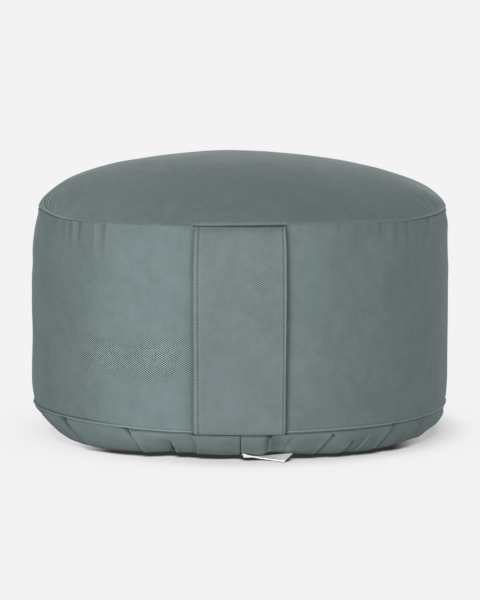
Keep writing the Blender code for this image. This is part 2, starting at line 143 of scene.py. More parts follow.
def spline(values: Array, places: Array, closed: bool) -> Array:
    """Reads evenly spaced rows of values at places between them, as a smooth curve.

    Args:
        values: the rows.
        places: where to read, counted in rows.
        closed: whether the first row follows the last one.

    Returns:
        One row for each place.
    """
    start = np.floor(places).astype(int)
    part = (places - start).reshape((-1,) + (1,) * (values.ndim - 1))
    weights = ((1.0 - part) ** 3, 3.0 * part ** 3 - 6.0 * part ** 2 + 4.0,
               -3.0 * part ** 3 + 3.0 * part ** 2 + 3.0 * part + 1.0, part ** 3)
    total = 0.0
    for step, weight in enumerate(weights):
        row = start - 1 + step
        row = row % len(values) if closed else np.clip(row, 0, len(values) - 1)
        total = total + weight / 6.0 * values[row]
    return total


# ---- the tables of the cover ----------------------------------------------------------------

class Lap(Enum):
    """Which side of a pleat lies on top, by the bearing that it grows towards."""

    LOWER_BEARING = -1
    HIGHER_BEARING = 1


@dataclass(frozen=True)
class Row:
    """A measure of the cover at one bearing, in metres."""

    bearing: float
    value: float


def columns_of(rows: tuple[Row, ...]) -> tuple[Array, Array]:
    """The bearings and the values of a table of rows."""
    return np.array([row.bearing for row in rows]), np.array([row.value for row in rows])


@dataclass(frozen=True)
class Stretch:
    """A stretch of the cover between two bearings that fades out at its ends, and its amount."""

    start: float
    end: float
    fade: float
    amount: float

    def at(self, bearing: Array) -> Array:
        """Its amount at each bearing."""
        return self.amount * window(bearing, self.start, self.end, self.fade)


def added_up(bearing: Array, stretches: tuple[Stretch, ...]) -> Array:
    """The amounts of a table of stretches at each bearing, added up."""
    return sum(stretch.at(bearing) for stretch in stretches)


@dataclass(frozen=True)
class Hills:
    """Soft unevenness of the cloth, in metres. The hills are taller than wide where upright is below 1."""

    height: float
    size: float
    seed: float
    upright: float = 1.0

    def relief(self, points: Array) -> Array:
        """How far each point stands out."""
        return self.height * cloud(points * np.array([1.0, 1.0, self.upright]), self.size, self.seed)


@dataclass(frozen=True)
class Gathers:
    """Small uneven waves of the cloth along a seam, which die away from it."""

    height: float
    pitch: float                      # of one wave, over 2 pi
    sway: float                       # how unevenly the waves follow each other
    sway_pitch: float
    sway_phase: float
    reach: float                      # from the seam, over which they die away
    rise: float = 0.0                 # from the seam, over which they begin
    swell_pitch: float = 0.0          # of the stretches where they are strong
    swell_phase: float = 0.0

    def relief(self, around: Array, away: Array) -> Array:
        """How far the waves stand out.

        Args:
            around: distances round the side, in metres.
            away: distances from the seam.

        Returns:
            One distance for each pair.
        """
        waves = np.sin(around / self.pitch + self.sway * np.sin(around / self.sway_pitch + self.sway_phase))
        if self.swell_pitch:
            waves = waves * (0.5 + 0.5 * np.sin(around / self.swell_pitch + self.swell_phase))
        if self.rise:
            waves = waves * smooth(away / self.rise)
        return self.height * waves * np.exp(-away / self.reach)


@dataclass(frozen=True)
class FanLine:
    """A fine ridge of the top panel, from near its seam up into the panel.

    Its two ends are given by their bearings and by their distances from the edge of the
    crown, and its middle by its bearing.
    """

    bearing: float
    away: float
    middle_bearing: float
    far_bearing: float
    far_away: float
    height: float
    width: float


@dataclass(frozen=True)
class Pleat:
    """A pleat of the bottom panel. start is the share of the panel's rise at which it opens, and
    taper how fast its shadow narrows."""

    seam_bearing: float
    floor_bearing: float
    lap: Lap
    depth: float
    width: float
    start: float
    edge: float
    taper: float = 1.5                # of the pleats that carry on round the back


@dataclass(frozen=True)
class Pucker:
    """A short upright dent in the side band under the top seam, or a rise if depth is negative.

    lean is how many degrees its line moves on over each metre that it runs down.
    """

    bearing: float
    depth: float
    width: float
    length: float
    lean: float


@dataclass(frozen=True)
class WeavePatch:
    """A place on the side where the weave stands out, by bearing and height."""

    bearing: float
    height: float
    reach: float
    rise: float
    strength: float


WEAVE_PATCHES = (
    WeavePatch(-34.0, 0.068, 15.0, 0.0135, 1.05),
    WeavePatch(-17.5, 0.070, 8.0, 0.015, 0.75),
    WeavePatch(21.0, 0.071, 10.0, 0.011, 0.45),
    WeavePatch(33.0, 0.068, 10.0, 0.009, 0.30),
    WeavePatch(96.0, 0.085, 18.0, 0.020, 0.5),
    WeavePatch(172.0, 0.075, 24.0, 0.020, 0.5),
    WeavePatch(-100.0, 0.060, 20.0, 0.018, 0.4),
)

# where the bottom panel leaves the floor
REST_RADII = tuple(
    Row(bearing, radius) for bearing, radius in (
        (-180.0, 0.124), (-120.0, 0.127), (-90.0, 0.128), (-74.0, 0.1275), (-62.0, 0.1312),
        (-54.0, 0.1318), (-44.0, 0.1305), (-33.0, 0.124), (-20.0, 0.108), (-12.0, 0.113), (-4.0, 0.117),
        (0.0, 0.115), (2.0, 0.112), (7.0, 0.113), (10.5, 0.104), (15.0, 0.111), (21.0, 0.117),
        (31.0, 0.125), (40.0, 0.1298), (50.0, 0.1328), (58.0, 0.1316), (70.0, 0.1295), (90.0, 0.131),
        (130.0, 0.128), (180.0, 0.124),
    )
)

# how far the top seam has ridden up over the edge of the crown
SEAM_RIDES = tuple(
    Row(bearing, ride * MM) for bearing, ride in (
        (-180.0, 2.4), (-120.0, 3.4), (-78.0, 3.8), (-68.0, 3.2), (-57.0, 1.4), (-17.0, 1.1),
        (-11.5, 0.3), (11.5, 0.3), (17.0, 1.1), (50.0, 1.2), (72.0, 2.0), (86.0, 3.4), (120.0, 3.0),
        (180.0, 2.4),
    )
)

# painted light and shade of the side: how much paler its colour is where light falls, or darker below 0
SIDE_LIGHT_PAINT = (
    Stretch(-30.0, -12.6, 12.0, 0.45),
    Stretch(12.6, 20.0, 4.0, 0.25),
    Stretch(-115.0, -77.0, 3.0, 0.9),
    Stretch(-75.0, -62.0, 4.0, -0.3),
    Stretch(-68.0, -43.0, 14.0, -1.1),
    Stretch(26.0, 60.0, 12.0, -0.3),
)
# painted light on the band left of the strap, cut off at the strap's edge
STRAP_SIDE_LIGHT_PAINT = Stretch(-36.0, -12.6, 16.0, 0.55)
# painted light and shade of the bottom panel by bearing
FOOT_LIGHT_PAINT = (
    Stretch(-32.0, -14.0, 8.0, 0.6),
    Stretch(-70.0, -40.0, 12.0, -0.35),
    Stretch(30.0, 62.0, 10.0, -0.35),
)

# over, beside and behind the strap, whose sides lie at 12.2 degrees
OVER_STRAP = Stretch(-12.2, 12.2, 1.0, 1.0)
# BESIDE_STRAP sets a painted highlight above the top seam beside the strap
BESIDE_STRAP = Stretch(12.2, 45.0, 3.0, 0.4)
BEHIND_STRAP = Stretch(-12.0, 12.2, 0.8, 1.0)

# how deeply each seam is drawn in, beside what it is all round; this also sets how dark the shade painted in
# its groove is, and OPEN_SEAM only lightens that painted shade
TOP_SEAM_DRAWN = (Stretch(-44.0, 46.0, 4.0, -1.0), OVER_STRAP)
UPPER_GROOVE_DRAWN = (Stretch(-36.0, 100.0, 12.0, -0.8), Stretch(-12.0, 12.0, 1.0, -0.2))
LOWER_GROOVE_DRAWN = (Stretch(-34.0, 60.0, 10.0, 0.65),)
OPEN_SEAM = (Stretch(-110.0, -66.0, 6.0, 1.0), Stretch(70.0, 110.0, 6.0, 1.0))

# the filling seen through the cloth, and the finer slack of the cloth itself
TOP_LUMPS = Hills(0.45 * MM, 0.060, 3.7)
TOP_SLACK = Hills(0.16 * MM, 0.020, 9.1)
BAND_LUMPS = Hills(0.36 * MM, 0.054, 5.3, 0.55)
BAND_SLACK = Hills(0.304 * MM, 0.020, 1.9, 0.55)
FOOT_LUMPS = Hills(0.5 * MM, 0.022, 4.4, 0.4)
FOOT_SLACK = Hills(0.15 * MM, 0.008, 8.2, 0.4)
FLOOR_LUMPS = Hills(0.35 * MM, 0.03, 6.6)
STRAP_LUMPS = Hills(0.30 * MM, 0.024, 2.2, 0.7)

TOP_GATHERS = Gathers(0.10 * MM, 2.3 * MM, 1.7, 17.0 * MM, 0.0, 6.0 * MM, 1.5 * MM, 29.0 * MM, 0.4)
BAND_GATHERS = Gathers(0.13 * MM, 2.1 * MM, 2.1, 15.0 * MM, 1.0, 9.0 * MM, 0.0, 23.0 * MM, 2.0)
LOW_BAND_GATHERS = Gathers(0.10 * MM, 2.9 * MM, 1.9, 19.0 * MM, 0.0, 8.0 * MM)
FOOT_GATHERS = Gathers(0.16 * MM, 3.4 * MM, 2.4, 21.0 * MM, 0.8, 7.0 * MM, 1.0 * MM)

FAN_LINES = tuple(
    FanLine(start, away * MM, middle, far, far_away * MM, height * MM, width * MM)
    for start, away, middle, far, far_away, height, width in (
        (-69.9, 5.5, -78.0, -80.5, 13.5, 0.9, 2.0), (-68.8, 6.5, -72.0, -73.4, 24.0, 0.9, 2.0),
        (-63.0, 6.0, -65.5, -66.5, 22.0, 0.15, 3.0), (82.0, 2.5, 77.0, 76.4, 18.0, 0.45, 1.8),
        (74.8, 3.8, 71.6, 81.0, 31.0, 0.55, 1.9), (68.5, 6.8, 67.0, 68.6, 31.0, 0.55, 1.9),
        (70.6, 9.0, 70.4, 74.0, 22.0, -0.4, 1.8), (63.5, 7.5, 62.9, 64.8, 34.0, 0.35, 2.2),
        (58.0, 7.0, 58.6, 60.0, 30.0, 0.14, 3.0), (118.0, 3.0, 120.0, 126.0, 22.0, 0.35, 3.0),
        (160.0, 3.0, 158.0, 154.0, 26.0, 0.3, 3.4), (-150.0, 3.0, -148.0, -143.0, 24.0, 0.35, 3.0),
        (-112.0, 3.0, -114.0, -118.0, 20.0, 0.3, 3.0),
    )
)

LOWER, HIGHER = Lap
FRONT_PLEATS = tuple(
    Pleat(seam, floor, lap, depth * MM, width * MM, start, edge * MM, taper)
    for seam, floor, lap, depth, width, start, edge, taper in (
        (-72.0, -69.0, HIGHER, 2.0, 8.0, 1.0, 1.4, 1.5), (-53.4, -47.0, HIGHER, 3.0, 16.0, 1.0, 1.0, 0.3),
        (-42.5, -39.5, HIGHER, 0.8, 7.0, 0.7, 1.8, 1.5), (-30.4, -31.0, HIGHER, 3.0, 9.0, 1.0, 0.6, 1.5),
        (-20.2, -22.4, HIGHER, 3.0, 8.0, 0.66, 0.6, 1.5), (-13.2, -15.0, HIGHER, 1.8, 6.0, 1.0, 1.6, 1.5),
        (14.4, 13.0, LOWER, 0.7, 7.0, 0.9, 2.6, 1.5), (25.6, 21.6, LOWER, 2.8, 5.5, 0.9, 0.7, 1.5),
        (34.0, 28.6, LOWER, 2.8, 5.0, 0.55, 0.7, 1.5), (38.0, 34.6, HIGHER, 0.8, 5.0, 0.8, 1.6, 1.5),
        (44.6, 40.2, LOWER, 3.4, 6.5, 1.0, 0.6, 1.5), (51.5, 48.5, LOWER, 1.0, 5.0, 0.7, 1.4, 1.5),
        (58.0, 55.0, LOWER, 1.8, 8.0, 1.0, 1.4, 1.5), (68.0, 66.0, LOWER, 1.6, 8.0, 1.0, 1.4, 1.5),
    )
)

PUCKERS = tuple(
    Pucker(bearing, depth * MM, width * MM, length * MM, lean)
    for bearing, depth, width, length, lean in (
        (-61.5, 0.5, 3.6, 26.0, 120.0), (-57.0, 0.6, 4.0, 24.0, 130.0), (-53.0, 2.0, 2.8, 22.0, 60.0),
        (-50.4, -1.5, 3.6, 26.0, 50.0), (-48.4, 1.8, 2.8, 24.0, 40.0), (-41.9, -1.2, 3.2, 36.0, 50.0),
        (-39.2, 1.6, 3.8, 32.0, 40.0), (-27.0, 0.3, 8.0, 18.0, 0.0), (-14.0, 1.2, 2.4, 4.0, 0.0),
        (-12.8, 1.2, 2.0, 5.0, 0.0), (22.0, 0.35, 7.0, 16.0, 0.0), (27.0, 0.5, 4.6, 14.0, -40.0),
        (30.4, -0.3, 4.0, 14.0, -40.0), (36.6, 0.5, 4.0, 12.0, -60.0), (40.2, 0.8, 4.0, 16.0, -60.0),
        (43.5, -0.6, 4.6, 20.0, -60.0), (46.0, 0.8, 3.6, 18.0, -60.0), (50.2, 0.7, 3.0, 34.0, -20.0),
        (60.9, 1.1, 4.4, 9.0, -110.0), (62.0, -0.7, 4.0, 24.0, -70.0), (72.6, -0.5, 3.6, 50.0, -76.0),
        (75.6, 0.7, 3.6, 50.0, -76.0), (96.0, 0.7, 9.0, 24.0, 0.0), (131.0, 0.9, 8.0, 26.0, 0.0),
        (166.0, 0.7, 9.0, 22.0, 0.0), (-152.0, 0.9, 9.0, 27.0, 0.0), (-118.0, 0.7, 8.0, 22.0, 0.0),
        (-84.0, 0.6, 9.0, 24.0, 0.0),
    )
)


# ---- the form of the filled cover -----------------------------------------------------------

@dataclass
class CoverForm:
    """The plain form of the filled cover, with the sizes of the solid it stands for."""

    diameter: float = 0.300
    height: float = 0.2004
    top_seam_height: float = 0.1573
    top_seam_radius: float = 0.1463
    low_seam_height: float = 0.0200
    low_seam_radius: float = 0.1490
    crown_power_out: float = 1.75
    crown_power_up: float = 2.2
    top_turn_height: float = 0.120
    top_turn_side_shift: float = 0.008
    top_turn_power: float = 2.6
    top_turn_side_power: float = 0.8
    right_fullness: float = 0.6 * MM
    low_turn_height: float = 0.045
    low_turn_power: float = 2.0
    bottom_power: float = 1.65
    bottom_side_power: float = 0.2
    bottom_flank_power: float = -0.2
    top_seam_right_shift: float = 1.15 * 1.7 * MM
    top_seam_left_shift: float = 0.85 * 1.7 * MM
    crown_side_lean: float = 1.6 * MM
    shoulder_power: float = 2.5       # of the flatter shoulder at the front
    shoulder_span: float = 62.0       # to each side, in degrees
    shoulder_fade: float = 36.0
    shoulder_share: float = 0.9
    wander_slow: float = 0.4 * MM
    wander_quick: float = 0.25 * MM
    wander_phase: float = 0.7
    low_seam_turn: float = 70.0       # how far on round the bottom seam wanders like the top one
    barrel_wander: float = 0.3 * MM
    barrel_phase: float = 1.1
    dent_depth: float = 0.5 * MM
    dent_height: float = 0.070
    upper_dent_height: float = 0.116
    upper_dent_share: float = 1.8     # of the depth of the lower one
    dent_span: float = 0.030

    def rest_radius(self, bearing: Array) -> Array:
        """The radius at which the bottom panel meets the floor.

        Args:
            bearing: bearings in degrees.

        Returns:
            One radius for each bearing, from REST_RADII.
        """
        bearing = turn_between(bearing, 0.0)
        bearings, radii = columns_of(REST_RADII)
        after = np.clip(np.searchsorted(bearings, bearing), 1, len(bearings) - 1)
        start, end = bearings[after - 1], bearings[after]
        share = smooth((bearing - start) / (end - start))
        return radii[after - 1] + (radii[after] - radii[after - 1]) * share

    def seam_radius(self, bearing: Array) -> Array:
        """The radius of the top seam, which is not quite central."""
        side = np.sin(np.radians(bearing))
        shift = np.where(side > 0.0, self.top_seam_right_shift, self.top_seam_left_shift)
        return self.top_seam_radius + shift * side

    def seam_wander(self, bearing: Array) -> Array:
        """How far the top seam lies above its own level, with two and five waves all round."""
        angle = np.radians(bearing)
        slow = self.wander_slow * np.sin(2.0 * angle + self.wander_phase)
        return slow + self.wander_quick * np.sin(5.0 * angle)

    def low_seam_wander(self, bearing: Array) -> Array:
        """The same for the bottom seam."""
        return self.seam_wander(bearing + self.low_seam_turn)

    def wall_radius(self, height: Array, bearing: Array) -> Array:
        """The radius of the side band without its puckers.

        Args:
            height: heights above the floor, in metres.
            bearing: bearings in degrees.

        Returns:
            One radius for each pair.
        """
        barrel = self.diameter / 2.0
        side = np.sin(np.radians(bearing))
        turn_height = self.top_turn_height + self.top_turn_side_shift * side
        top = np.clip((height - turn_height) / (self.top_seam_height - turn_height), 0, 1)
        low = np.clip((self.low_turn_height - height) / (self.low_turn_height - self.low_seam_height), 0, 1)
        power = self.top_turn_power + self.top_turn_side_power * np.maximum(0.0, side)
        radius = barrel - (barrel - self.seam_radius(bearing)) * top ** power
        radius = radius - (barrel - self.low_seam_radius) * low ** self.low_turn_power
        angle = np.radians(bearing)
        climbed = (height - self.low_seam_height) / (self.top_seam_height - self.low_seam_height)
        middle = np.sin(math.pi * np.clip(climbed, 0.0, 1.0))
        radius = radius + self.barrel_wander * middle * np.sin(3.0 * angle + self.barrel_phase)
        radius = radius + self.right_fullness * np.maximum(0.0, side) ** 2 * np.sqrt(middle)
        dent = bell(height - self.dent_height, self.dent_span)
        dent = dent + self.upper_dent_share * bell(height - self.upper_dent_height, self.dent_span)
        return radius - self.dent_depth * dent * np.maximum(0.0, -side)

    def crown_line(self) -> Array:
        """The top panel in section from its seam to the middle, as (spread, height) rows."""
        angle = np.linspace(0.0, math.pi / 2.0, 600) ** 1.6
        angle = angle / angle[-1] * math.pi / 2.0
        spread = np.cos(angle) ** (2.0 / self.crown_power_out)
        rise = np.sin(angle) ** (2.0 / self.crown_power_up)
        return np.stack([spread, rise * (self.height - self.top_seam_height)], axis=1)

    def crown_point(self, spread: Array, rise: Array, bearing: Array) -> tuple[Array, Array]:
        """Points of the top panel.

        Args:
            spread: distance from the middle, as a share of the seam's radius.
            rise: height above the seam, in metres.
            bearing: bearings in degrees.

        Returns:
            The radius and the height of each point.
        """
        full = (self.height - self.top_seam_height) * (1.0 - spread ** self.shoulder_power)
        front = window(bearing, -self.shoulder_span, self.shoulder_span, self.shoulder_fade)
        rise = rise + (full - rise) * self.shoulder_share * front
        lean = -self.crown_side_lean * np.sin(np.radians(bearing)) * spread * (1.0 - spread ** 8)
        height = self.top_seam_height + rise + lean + self.seam_wander(bearing) * spread ** 6
        return self.seam_radius(bearing) * spread, height

    def wall_point(self, height: Array, bearing: Array) -> tuple[Array, Array]:
        """Points of the side band.

        Args:
            height: heights above the floor before the seams wander, in metres.
            bearing: bearings in degrees.

        Returns:
            The radius and the height of each point.
        """
        half = self.top_seam_height / 2.0
        upper = smooth((height - half) / half)
        wander = self.seam_wander(bearing) * upper + self.low_seam_wander(bearing) * (1.0 - upper)
        return self.wall_radius(height, bearing), height + wander

    def upper_surface(self, below: Array, bearing: Array) -> tuple[Array, Array]:
        """Points of the top panel and the side band as one surface.

        Args:
            below: distances below the edge of the crown along the cloth, negative on the crown.
            bearing: bearings in degrees.

        Returns:
            The radius and the height of each point.
        """
        line = self.crown_line()
        spread = np.interp(-below, self.crown_run(), line[:, 0])
        rise = np.interp(-below, self.crown_run(), line[:, 1])
        crown = self.crown_point(spread, rise, bearing)
        wall = self.wall_point(self.top_seam_height - np.maximum(0.0, below), bearing)
        on_crown = np.broadcast_to(below < 0.0, crown[0].shape)
        return np.where(on_crown, crown[0], wall[0]), np.where(on_crown, crown[1], wall[1])

    def crown_run(self) -> Array:
        """The distance of each row of the crown line from its edge, along the cloth."""
        return run_along(self.crown_line() * np.array([self.top_seam_radius, 1.0]))

    def seam_ride(self, bearing: Array) -> Array:
        """How far the top seam lies above the edge of the crown, from SEAM_RIDES."""
        return np.interp(turn_between(bearing, 0.0), *columns_of(SEAM_RIDES))

    def bottom_power_at(self, bearing: Array) -> Array:
        """How full the bottom panel is between its seam and the floor."""
        side = np.sin(np.radians(bearing))
        return self.bottom_power + self.bottom_side_power * side + self.bottom_flank_power * side ** 2

    def bottom_point(self, share: Array, bearing: Array) -> tuple[Array, Array]:
        """Points of the bottom panel between its seam and the floor.

        Args:
            share: 1 at the seam and 0 where the panel meets the floor.
            bearing: bearings in degrees.

        Returns:
            The radius and the height of each point.
        """
        power = self.bottom_power_at(bearing)
        rest = self.rest_radius(bearing)
        share = np.clip(share, 0.0, 1.0)
        climb = (1.0 - share ** power) ** (1.0 / power)
        height = self.low_seam_height + self.low_seam_wander(bearing) * share ** 4
        return rest + (self.low_seam_radius - rest) * share, height * (1.0 - climb)


FORM = CoverForm()


# ---- meshes ---------------------------------------------------------------------------------

class Panel(Enum):
    """The three panels of the cover."""

    TOP = "top"
    BAND = "band"
    BOTTOM = "bottom"


@dataclass
class PanelGrid:
    """Rings of points of one panel, with the place of each on the flat cloth."""

    points: Array                 # rings x columns x 3
    cloth: Array                  # rings x (columns + 1) x 2, in metres
    painted_highlight: Array                 # rings x columns, 1 where a highlight is painted on a ridge or edge
    painted_shade: Array                 # the same, 1 where shade is painted into a fold, groove or crease
    weave: Array                  # the same, how clearly the weave stands out
    painted_light: Array                  # the same, painted light: how much paler the colour is, or darker (painted shade) below 0


def outward(radius: Array, height: Array) -> tuple[Array, Array]:
    """The way in which rings of points look out of their section, as parts of a length of 1."""
    along_r, along_z = np.gradient(radius, axis=0), np.gradient(height, axis=0)
    length = np.maximum(np.hypot(along_r, along_z), 1e-9)
    return -along_z / length, along_r / length


def pushed_out(radius: Array, height: Array, relief: Array) -> tuple[Array, Array]:
    """Moves rings of points along the outward direction of their own section.

    Args:
        radius: rings x columns of radii.
        height: the same for heights.
        relief: how far each point moves out, in metres.

    Returns:
        The new radii and heights.
    """
    out, up = outward(radius, height)
    return radius + out * relief, height + up * relief


def linked(name: str, data: bpy.types.ID) -> bpy.types.Object:
    """Makes an object of a mesh, a light or a camera, and links it to the scene."""
    made = bpy.data.objects.new(name, data)
    bpy.context.scene.collection.objects.link(made)
    return made


def mesh_piece(name: str, vertices: Array, faces: list, cloth: Array | None = None,
               masks: dict[str, Array] | None = None) -> bpy.types.Object:
    """Makes a smooth-shaded mesh object.

    Args:
        name: the piece's name.
        vertices: an array of points.
        faces: the vertex indices of each face.
        cloth: the place of each face corner on the flat cloth, in metres, in face order.
        masks: named values for each vertex, for the finish.

    Returns:
        The new object, linked to the scene.
    """
    mesh = bpy.data.meshes.new(name)
    mesh.from_pydata([tuple(point) for point in np.asarray(vertices, float)], [], faces)
    if cloth is not None:
        layer = mesh.uv_layers.new(name=CLOTH_LAYER)
        layer.data.foreach_set("uv", np.asarray(cloth, np.float32).ravel())
    for mask, values in (masks or {}).items():
        column = mesh.attributes.new(mask, "FLOAT", "POINT")
        column.data.foreach_set("value", np.asarray(values, np.float32).ravel())
    mesh.shade_smooth()
    mesh.update()
    return linked(name, mesh)


class Winding(Enum):
    """The order of a face's corners, which tells its outer side."""

    DOWN_FIRST = (0, 1, 2, 3)
    ALONG_FIRST = (0, 3, 2, 1)


def ring_quads(first: int, rings: int, columns: int, winding: Winding = Winding.DOWN_FIRST) -> list:
    """Faces between rings of points, each ring closed.

    Args:
        first: the index of the first point.
        rings: how many rings there are.
        columns: how many points each ring has.
        winding: whether a face's second corner lies in the next ring or in the next column.

    Returns:
        Four indices for each face, ring by ring.
    """
    here = first + np.arange(rings * columns).reshape(rings, columns)
    after = np.roll(here, -1, axis=1)
    corners = here[:-1], here[1:], after[1:], after[:-1]
    return np.stack([corners[index] for index in winding.value], axis=-1).reshape(-1, 4).tolist()


def quad_places(cloth: Array, winding: Winding = Winding.DOWN_FIRST) -> Array:
    """The flat places of the corners of those faces, from rings x (columns + 1) places."""
    corners = cloth[:-1, :-1], cloth[1:, :-1], cloth[1:, 1:], cloth[:-1, 1:]
    return np.stack([corners[index] for index in winding.value], axis=2).reshape(-1, 2)


def tube_piece(name: str, sections: Array, cloth: Array,
               masks: dict[str, Array] | None = None) -> bpy.types.Object:
    """A closed piece from rings of points, with its two ends capped.

    Args:
        name: the piece's name.
        sections: rings x corners x 3 points, each ring closed.
        cloth: rings x (corners + 1) x 2 places on the flat cloth, in metres.
        masks: named values for each corner of each ring, for the finish.

    Returns:
        The new object.
    """
    rings, corners = sections.shape[:2]
    faces = ring_quads(0, rings, corners, Winding.ALONG_FIRST)
    faces += [list(range(corners))[::-1], list(range((rings - 1) * corners, rings * corners))]
    places = quad_places(cloth, Winding.ALONG_FIRST), cloth[0, :-1][::-1], cloth[-1, :-1]
    return mesh_piece(name, sections.reshape(-1, 3), faces, np.concatenate(places), masks)


# ---- the cushion cover ----------------------------------------------------------------------

@dataclass
class CushionCover:
    """The filled cover: top panel, side band and bottom panel as one closed form."""

    form: CoverForm
    columns: int = 740
    fine_reach: float = 100.0         # the columns lie close together up to this bearing
    back_share: float = 0.30          # how close they lie at the back, against the front
    groove_depth: float = 0.55 * MM
    groove_half: float = 0.75 * MM
    lip_proud: float = 0.40 * MM      # the cloth on both sides of that groove
    lip_place: float = 1.9 * MM
    lip_width: float = 2.6 * MM
    bead_proud: float = 0.65 * MM
    bead_place: float = 1.0 * MM      # above the bottom seam
    bead_width: float = 1.2 * MM
    low_groove_depth: float = 1.0 * MM
    low_groove_half: float = 0.9 * MM
    upper_groove_depth: float = 0.8 * MM
    upper_groove_place: float = 2.0 * MM
    upper_groove_half: float = 0.7 * MM
    hollow_depth: float = 0.35 * MM   # over that groove
    hollow_place: float = 3.6 * MM
    hollow_width: float = 3.4 * MM
    valley_depth: float = 0.8 * MM    # beside the strap and the flap
    fan_radius: float = 0.14          # at which the fans of ridges lie
    back_pleats: int = 12
    back_edge: float = 4.2 * MM       # as soft as the wider columns there can show
    pleat_bow: float = 1.7            # degrees that a pleat leans to the front half way down
    channel_left: float = 1.0 * MM    # the strip of the closing flap
    channel_width: float = 20.5 * MM
    channel_depth: float = 1.75 * MM
    strap_half: float = 31.0 * MM
    top_weave: float = 0.03           # sat smooth
    side_weave: float = 0.05

    def bearings(self) -> Array:
        """Bearings of the columns, from 0 to just under 360, close together at the front."""
        fine = np.linspace(0.0, 180.0, 3601)
        close = self.back_share + (1.0 - self.back_share) * smooth((self.fine_reach - fine) / 24.0 + 0.5)
        close = close + 0.25 * bell(fine, 60.0)
        run = np.concatenate([[0.0], np.cumsum((close[1:] + close[:-1]) / 2.0)])
        half = np.interp(np.linspace(0.0, run[-1], self.columns // 2 + 1), run, fine)
        return np.concatenate([half, 360.0 - half[-2:0:-1]])[None, :]

    def pleats(self) -> list[Pleat]:
        """The pleats seen at the front and those that carry on round the back."""
        found = list(FRONT_PLEATS)
        for index in range(self.back_pleats):
            bearing = 84.0 + 17.0 * index + 4.0 * math.sin(2.3 * index)
            lap = HIGHER if index % 3 else LOWER
            depth = 2.6 * MM * (1.0 + 0.35 * math.cos(1.7 * index))
            start = 1.0 if index % 2 else 0.8
            edge = (0.7 + 0.5 * math.sin(1.3 * index) ** 2) * MM
            if abs(bearing - 180.0) < 180.0 - self.fine_reach:
                edge = self.back_edge
            found.append(Pleat(bearing, bearing + 1.5 * lap.value, lap, depth, 8.0 * MM, start, edge))
        return found

    def across(self, bearing: Array) -> Array:
        """Distance round the side from the middle of the strap, in metres."""
        return np.radians(turn_between(bearing, 0.0)) * self.form.diameter / 2.0

    def behind_strap(self, bearing: Array) -> Array:
        """1 where the strap covers the band, fading to 0 just beside it."""
        return BEHIND_STRAP.at(bearing)

    def seam_strength(self, bearing: Array) -> Array:
        """How deeply the top seam is drawn in at each bearing, from 0 to 1."""
        return 1.0 + added_up(bearing, TOP_SEAM_DRAWN)

    def groove(self, distance: Array, half: float) -> Array:
        """A sharp-sided groove, 1 on its line and 0 from half its width out."""
        return np.maximum(0.0, 1.0 - np.abs(distance) / half) ** 0.8

    def fan_lines(self, away: Array, bearing: Array) -> Array:
        """The fine ridges that fan out over the top panel from places along its seam.

        Args:
            away: distances from the edge of the crown, in metres.
            bearing: 1 x columns bearings in degrees.

        Returns:
            How far each point stands out, in metres.
        """
        relief = np.zeros(np.broadcast_shapes(away.shape, bearing.shape))
        for line in FAN_LINES:
            share = (away - line.away) / (line.far_away - line.away)
            course = line.bearing + (line.far_bearing - line.bearing) * share
            bend = line.middle_bearing - (line.bearing + line.far_bearing) / 2.0
            course = course + 4.0 * bend * np.clip(share * (1.0 - share), 0.0, 1.0)
            turned = np.radians(line.far_bearing - line.bearing)
            slant = turned * self.fan_radius / (line.far_away - line.away)
            beside = np.radians(turn_between(bearing, course)) * self.fan_radius / math.hypot(1.0, slant)
            fade = smooth((share + 0.1) / 0.3) * smooth((1.05 - share) / 0.5)
            ridge = bell(beside, line.width) - 0.45 * bell(beside, 2.4 * line.width)
            relief = relief + line.height * ridge * fade
        return relief

    def top_relief(self, from_seam: Array, bearing: Array, points: Array) -> Array:
        """The rest of the fine shape of the top panel.

        Args:
            from_seam: distances from the top seam, in metres.
            bearing: 1 x columns bearings in degrees.
            points: the plain points.

        Returns:
            How far each point stands out, in metres.
        """
        drawn = self.seam_strength(bearing)
        relief = -self.groove_depth * drawn * self.groove(from_seam, self.groove_half)
        relief = relief + self.lip_proud * drawn * bell(from_seam - self.lip_place, self.lip_width)
        relief = relief + TOP_GATHERS.relief(self.across(bearing), from_seam)
        calm = 0.25 + 0.75 * smooth(from_seam / 0.03)
        return relief + calm * (TOP_LUMPS.relief(points) + TOP_SLACK.relief(points))

    def band_relief(self, down: Array, up: Array, bearing: Array, points: Array) -> Array:
        """The fine shape of the side band.

        Args:
            down: distances below the top seam, in metres.
            up: distances above the bottom seam.
            bearing: 1 x columns bearings in degrees.
            points: the plain points.

        Returns:
            How far each point stands out, in metres.
        """
        around, beside = self.across(bearing), 1.0 - self.behind_strap(bearing)
        drawn = self.seam_strength(bearing)
        relief = -self.groove_depth * drawn * self.groove(down, self.groove_half)
        relief = relief + 0.6 * self.lip_proud * drawn * bell(down - self.lip_place, self.lip_width)
        relief = relief - self.pucker_depths(down, bearing)
        relief = relief + BAND_GATHERS.relief(around, down) + LOW_BAND_GATHERS.relief(around, up)
        relief = relief + self.bead_proud * beside * bell(up - self.bead_place, self.bead_width)
        relief = relief - self.low_groove_depth * self.groove(up, self.low_groove_half)
        upper = self.upper_groove_strength(bearing) * self.upper_groove_depth
        relief = relief - upper * self.groove(up - self.upper_groove_place, self.upper_groove_half)
        relief = relief - self.hollow_depth * beside * bell(up - self.hollow_place, self.hollow_width)
        left_valley = bell(around + self.strap_half + 1.6 * MM, 6.0 * MM)
        right_valley = 0.2 * bell(around - self.strap_half - 0.6 * MM, 2.2 * MM)
        relief = relief - self.valley_depth * (left_valley + right_valley) * smooth(down / (6.0 * MM))
        calm = smooth(down / 0.02) * smooth(up / 0.015) * (0.3 + 0.7 * beside)
        return relief + calm * (BAND_LUMPS.relief(points) + BAND_SLACK.relief(points))

